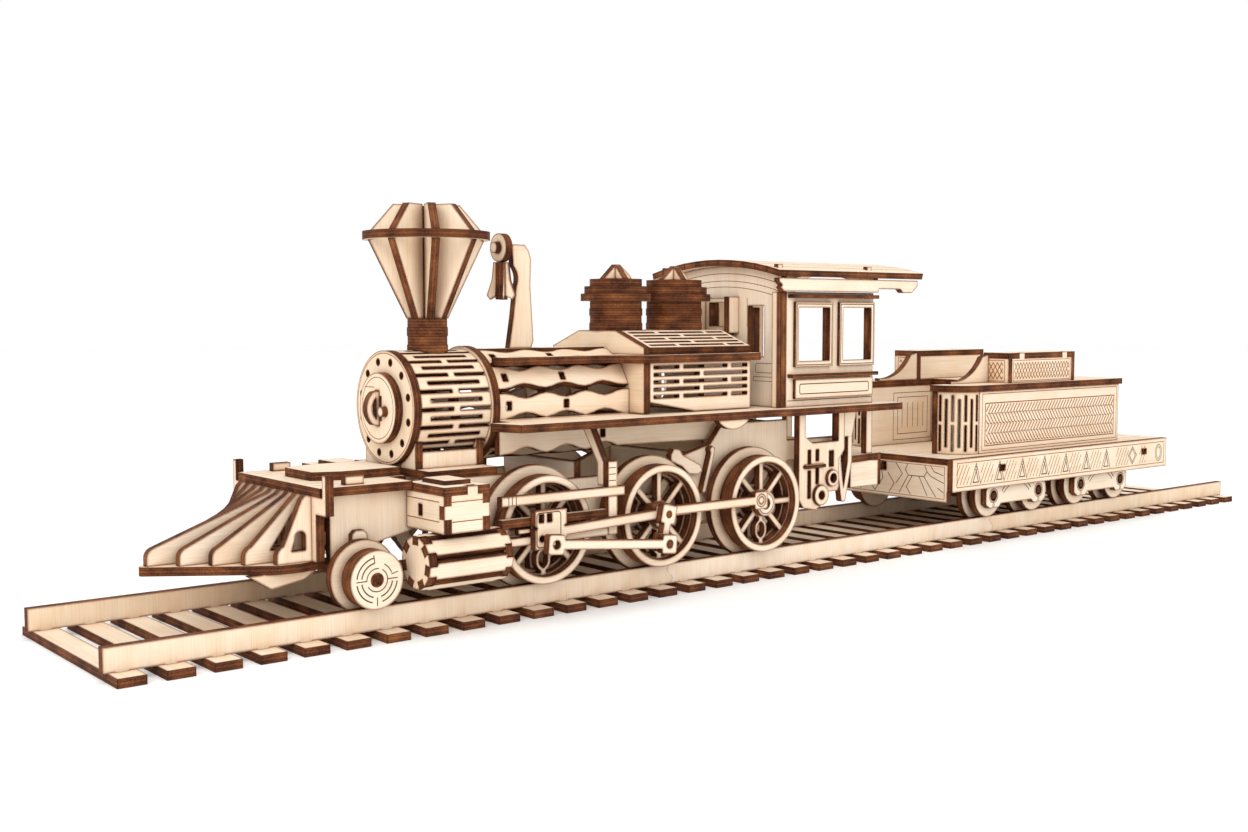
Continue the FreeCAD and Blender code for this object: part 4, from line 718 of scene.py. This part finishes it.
# Pilot wheels: broken rings and short cross lines round a burnt axle square.
WHEEL_SIDE = ("y", 42.7, 1)
PILOT_X, PILOT_Z = -239.0, 21.3
pilot = Scoring("pilot_wheels")
for start, end in ((-150, 60), (80, 180)):
    pilot.line(WHEEL_SIDE, circle(PILOT_X, PILOT_Z, 3.9, start, end, 48), width=0.35, tone=CHAR)
for start, end in ((98, 172), (188, 256), (284, 352)):
    for r in (5.8, 7.6):
        pilot.line(WHEEL_SIDE, circle(PILOT_X, PILOT_Z, r, start, end, 60), width=0.45, tone=CHAR)
pilot.line(WHEEL_SIDE, circle(PILOT_X, PILOT_Z, 5.8, 20, 62, 60), width=0.35, tone=CHAR)
for turn, r0, r1 in ((98, 5.8, 8.6), (180, 3.9, 7.8), (0, 3.9, 7.8), (15, 5.6, 8.2),
                     (270, 5.8, 8.8)):
    c, d = math.cos(math.radians(turn)), math.sin(math.radians(turn))
    pilot.line(WHEEL_SIDE, [(PILOT_X + r * c, PILOT_Z + r * d) for r in (r0, r1)], width=0.35,
               tone=CHAR)
pilot.patch(WHEEL_SIDE, square(PILOT_X, PILOT_Z, 1.7))
pilot.cut()

# Rods: a rounded outline on the main rods' block, a burnt square behind the return crank, and
# a ring round the coupling rods' rear pin.
ROD_SIDE = ("y", 49.3, 1)
CRANK_Z = 33.5
block = Scoring("main_rods")
block.line(ROD_SIDE, frame_line(-178.2, -167.6, 26.4, 38.8, 1.2), width=0.35, tone=CHAR)
block.patch(ROD_SIDE, square(-118.5, CRANK_Z, 1.4))
block.cut()
coupling = Scoring("coupling_rods")
coupling.line(("y", 46, 1), circle(-62.5, CRANK_Z, 2.6, steps=24), width=0.4, tone=CHAR)
coupling.cut()

# Driving wheels: a ring and a burnt axle square on the first and third hubs.
DRIVER_Z = 31.3
for number, x in ((1, -168.5), (3, -56.5)):
    driver = Scoring("driver_wheels_%d" % number)
    driver.line(WHEEL_SIDE, circle(x, DRIVER_Z, 4.2, steps=32), width=0.35, tone=CHAR)
    driver.patch(WHEEL_SIDE, square(x, DRIVER_Z, 1.5))
    driver.cut()


# ---------- floor, light and camera ----------
FLOOR_REACH, FLOOR_SQUARES = 4.0, 24    # metres from the middle to an edge, and squares a side

floor_mesh = bpy.data.meshes.new("floor")
floor_grid = bmesh.new()
bmesh.ops.create_grid(floor_grid, x_segments=FLOOR_SQUARES, y_segments=FLOOR_SQUARES,
                      size=FLOOR_REACH)
floor_grid.to_mesh(floor_mesh)
floor_grid.free()
floor = bpy.data.objects.new("floor", floor_mesh)
bpy.context.scene.collection.objects.link(floor)
floor.location.z = cad_box[0][2]
floor_mesh.materials.append(white_card("white_card"))

world = bpy.data.worlds.new("studio")
bpy.context.scene.world = world
world.use_nodes = True
room = world.node_tree.nodes["Background"]
room.inputs["Color"].default_value = ink("#FFFFFF")
room.inputs["Strength"].default_value = 1.0


def softbox(name, place, aim, size, watts, colour):
    # A rectangular soft lamp at a place in metres, turned to a point.
    light = bpy.data.lights.new(name, "AREA")
    light.shape = "RECTANGLE"
    light.size, light.size_y = size
    light.energy = watts
    light.color = ink(colour)[:3]
    held = bpy.data.objects.new(name, light)
    bpy.context.scene.collection.objects.link(held)
    held.location = place
    held.rotation_euler = (Vector(aim) - Vector(place)).to_track_quat("-Z", "Y").to_euler()


softbox("key_softbox", place=(-1.5, -0.9, 1.0), aim=(-0.1, 0, 0.05), size=(0.9, 0.9), watts=9,
        colour="#FFFAF4")
softbox("top_softbox", place=(0.1, -0.2, 1.8), aim=(0, 0, 0), size=(1.6, 1.2), watts=5,
        colour="#FFFFFF")
softbox("side_fill", place=(-0.6, -1.6, 0.6), aim=(-0.15, 0, 0.05), size=(1.2, 0.9), watts=4.5,
        colour="#FFFFFF")

CAMERA_PLACE = (-0.4696, -0.4527, 0.1096)   # metres
CAMERA_DIP, CAMERA_TURN = 4.14, -39.41      # degrees below level, and round from looking along y
LENS, SENSOR = 40.59, 36                    # mm

camera_data = bpy.data.cameras.new("camera")
camera = bpy.data.objects.new("camera", camera_data)
bpy.context.scene.collection.objects.link(camera)
camera.location = CAMERA_PLACE
camera.rotation_euler = (math.radians(90 - CAMERA_DIP), 0, math.radians(CAMERA_TURN))
camera_data.lens = LENS
camera_data.sensor_width = SENSOR
camera_data.clip_start = 0.01
bpy.context.scene.camera = camera
bpy.context.scene.view_settings.view_transform = "Standard"

bpy.context.view_layer.update()
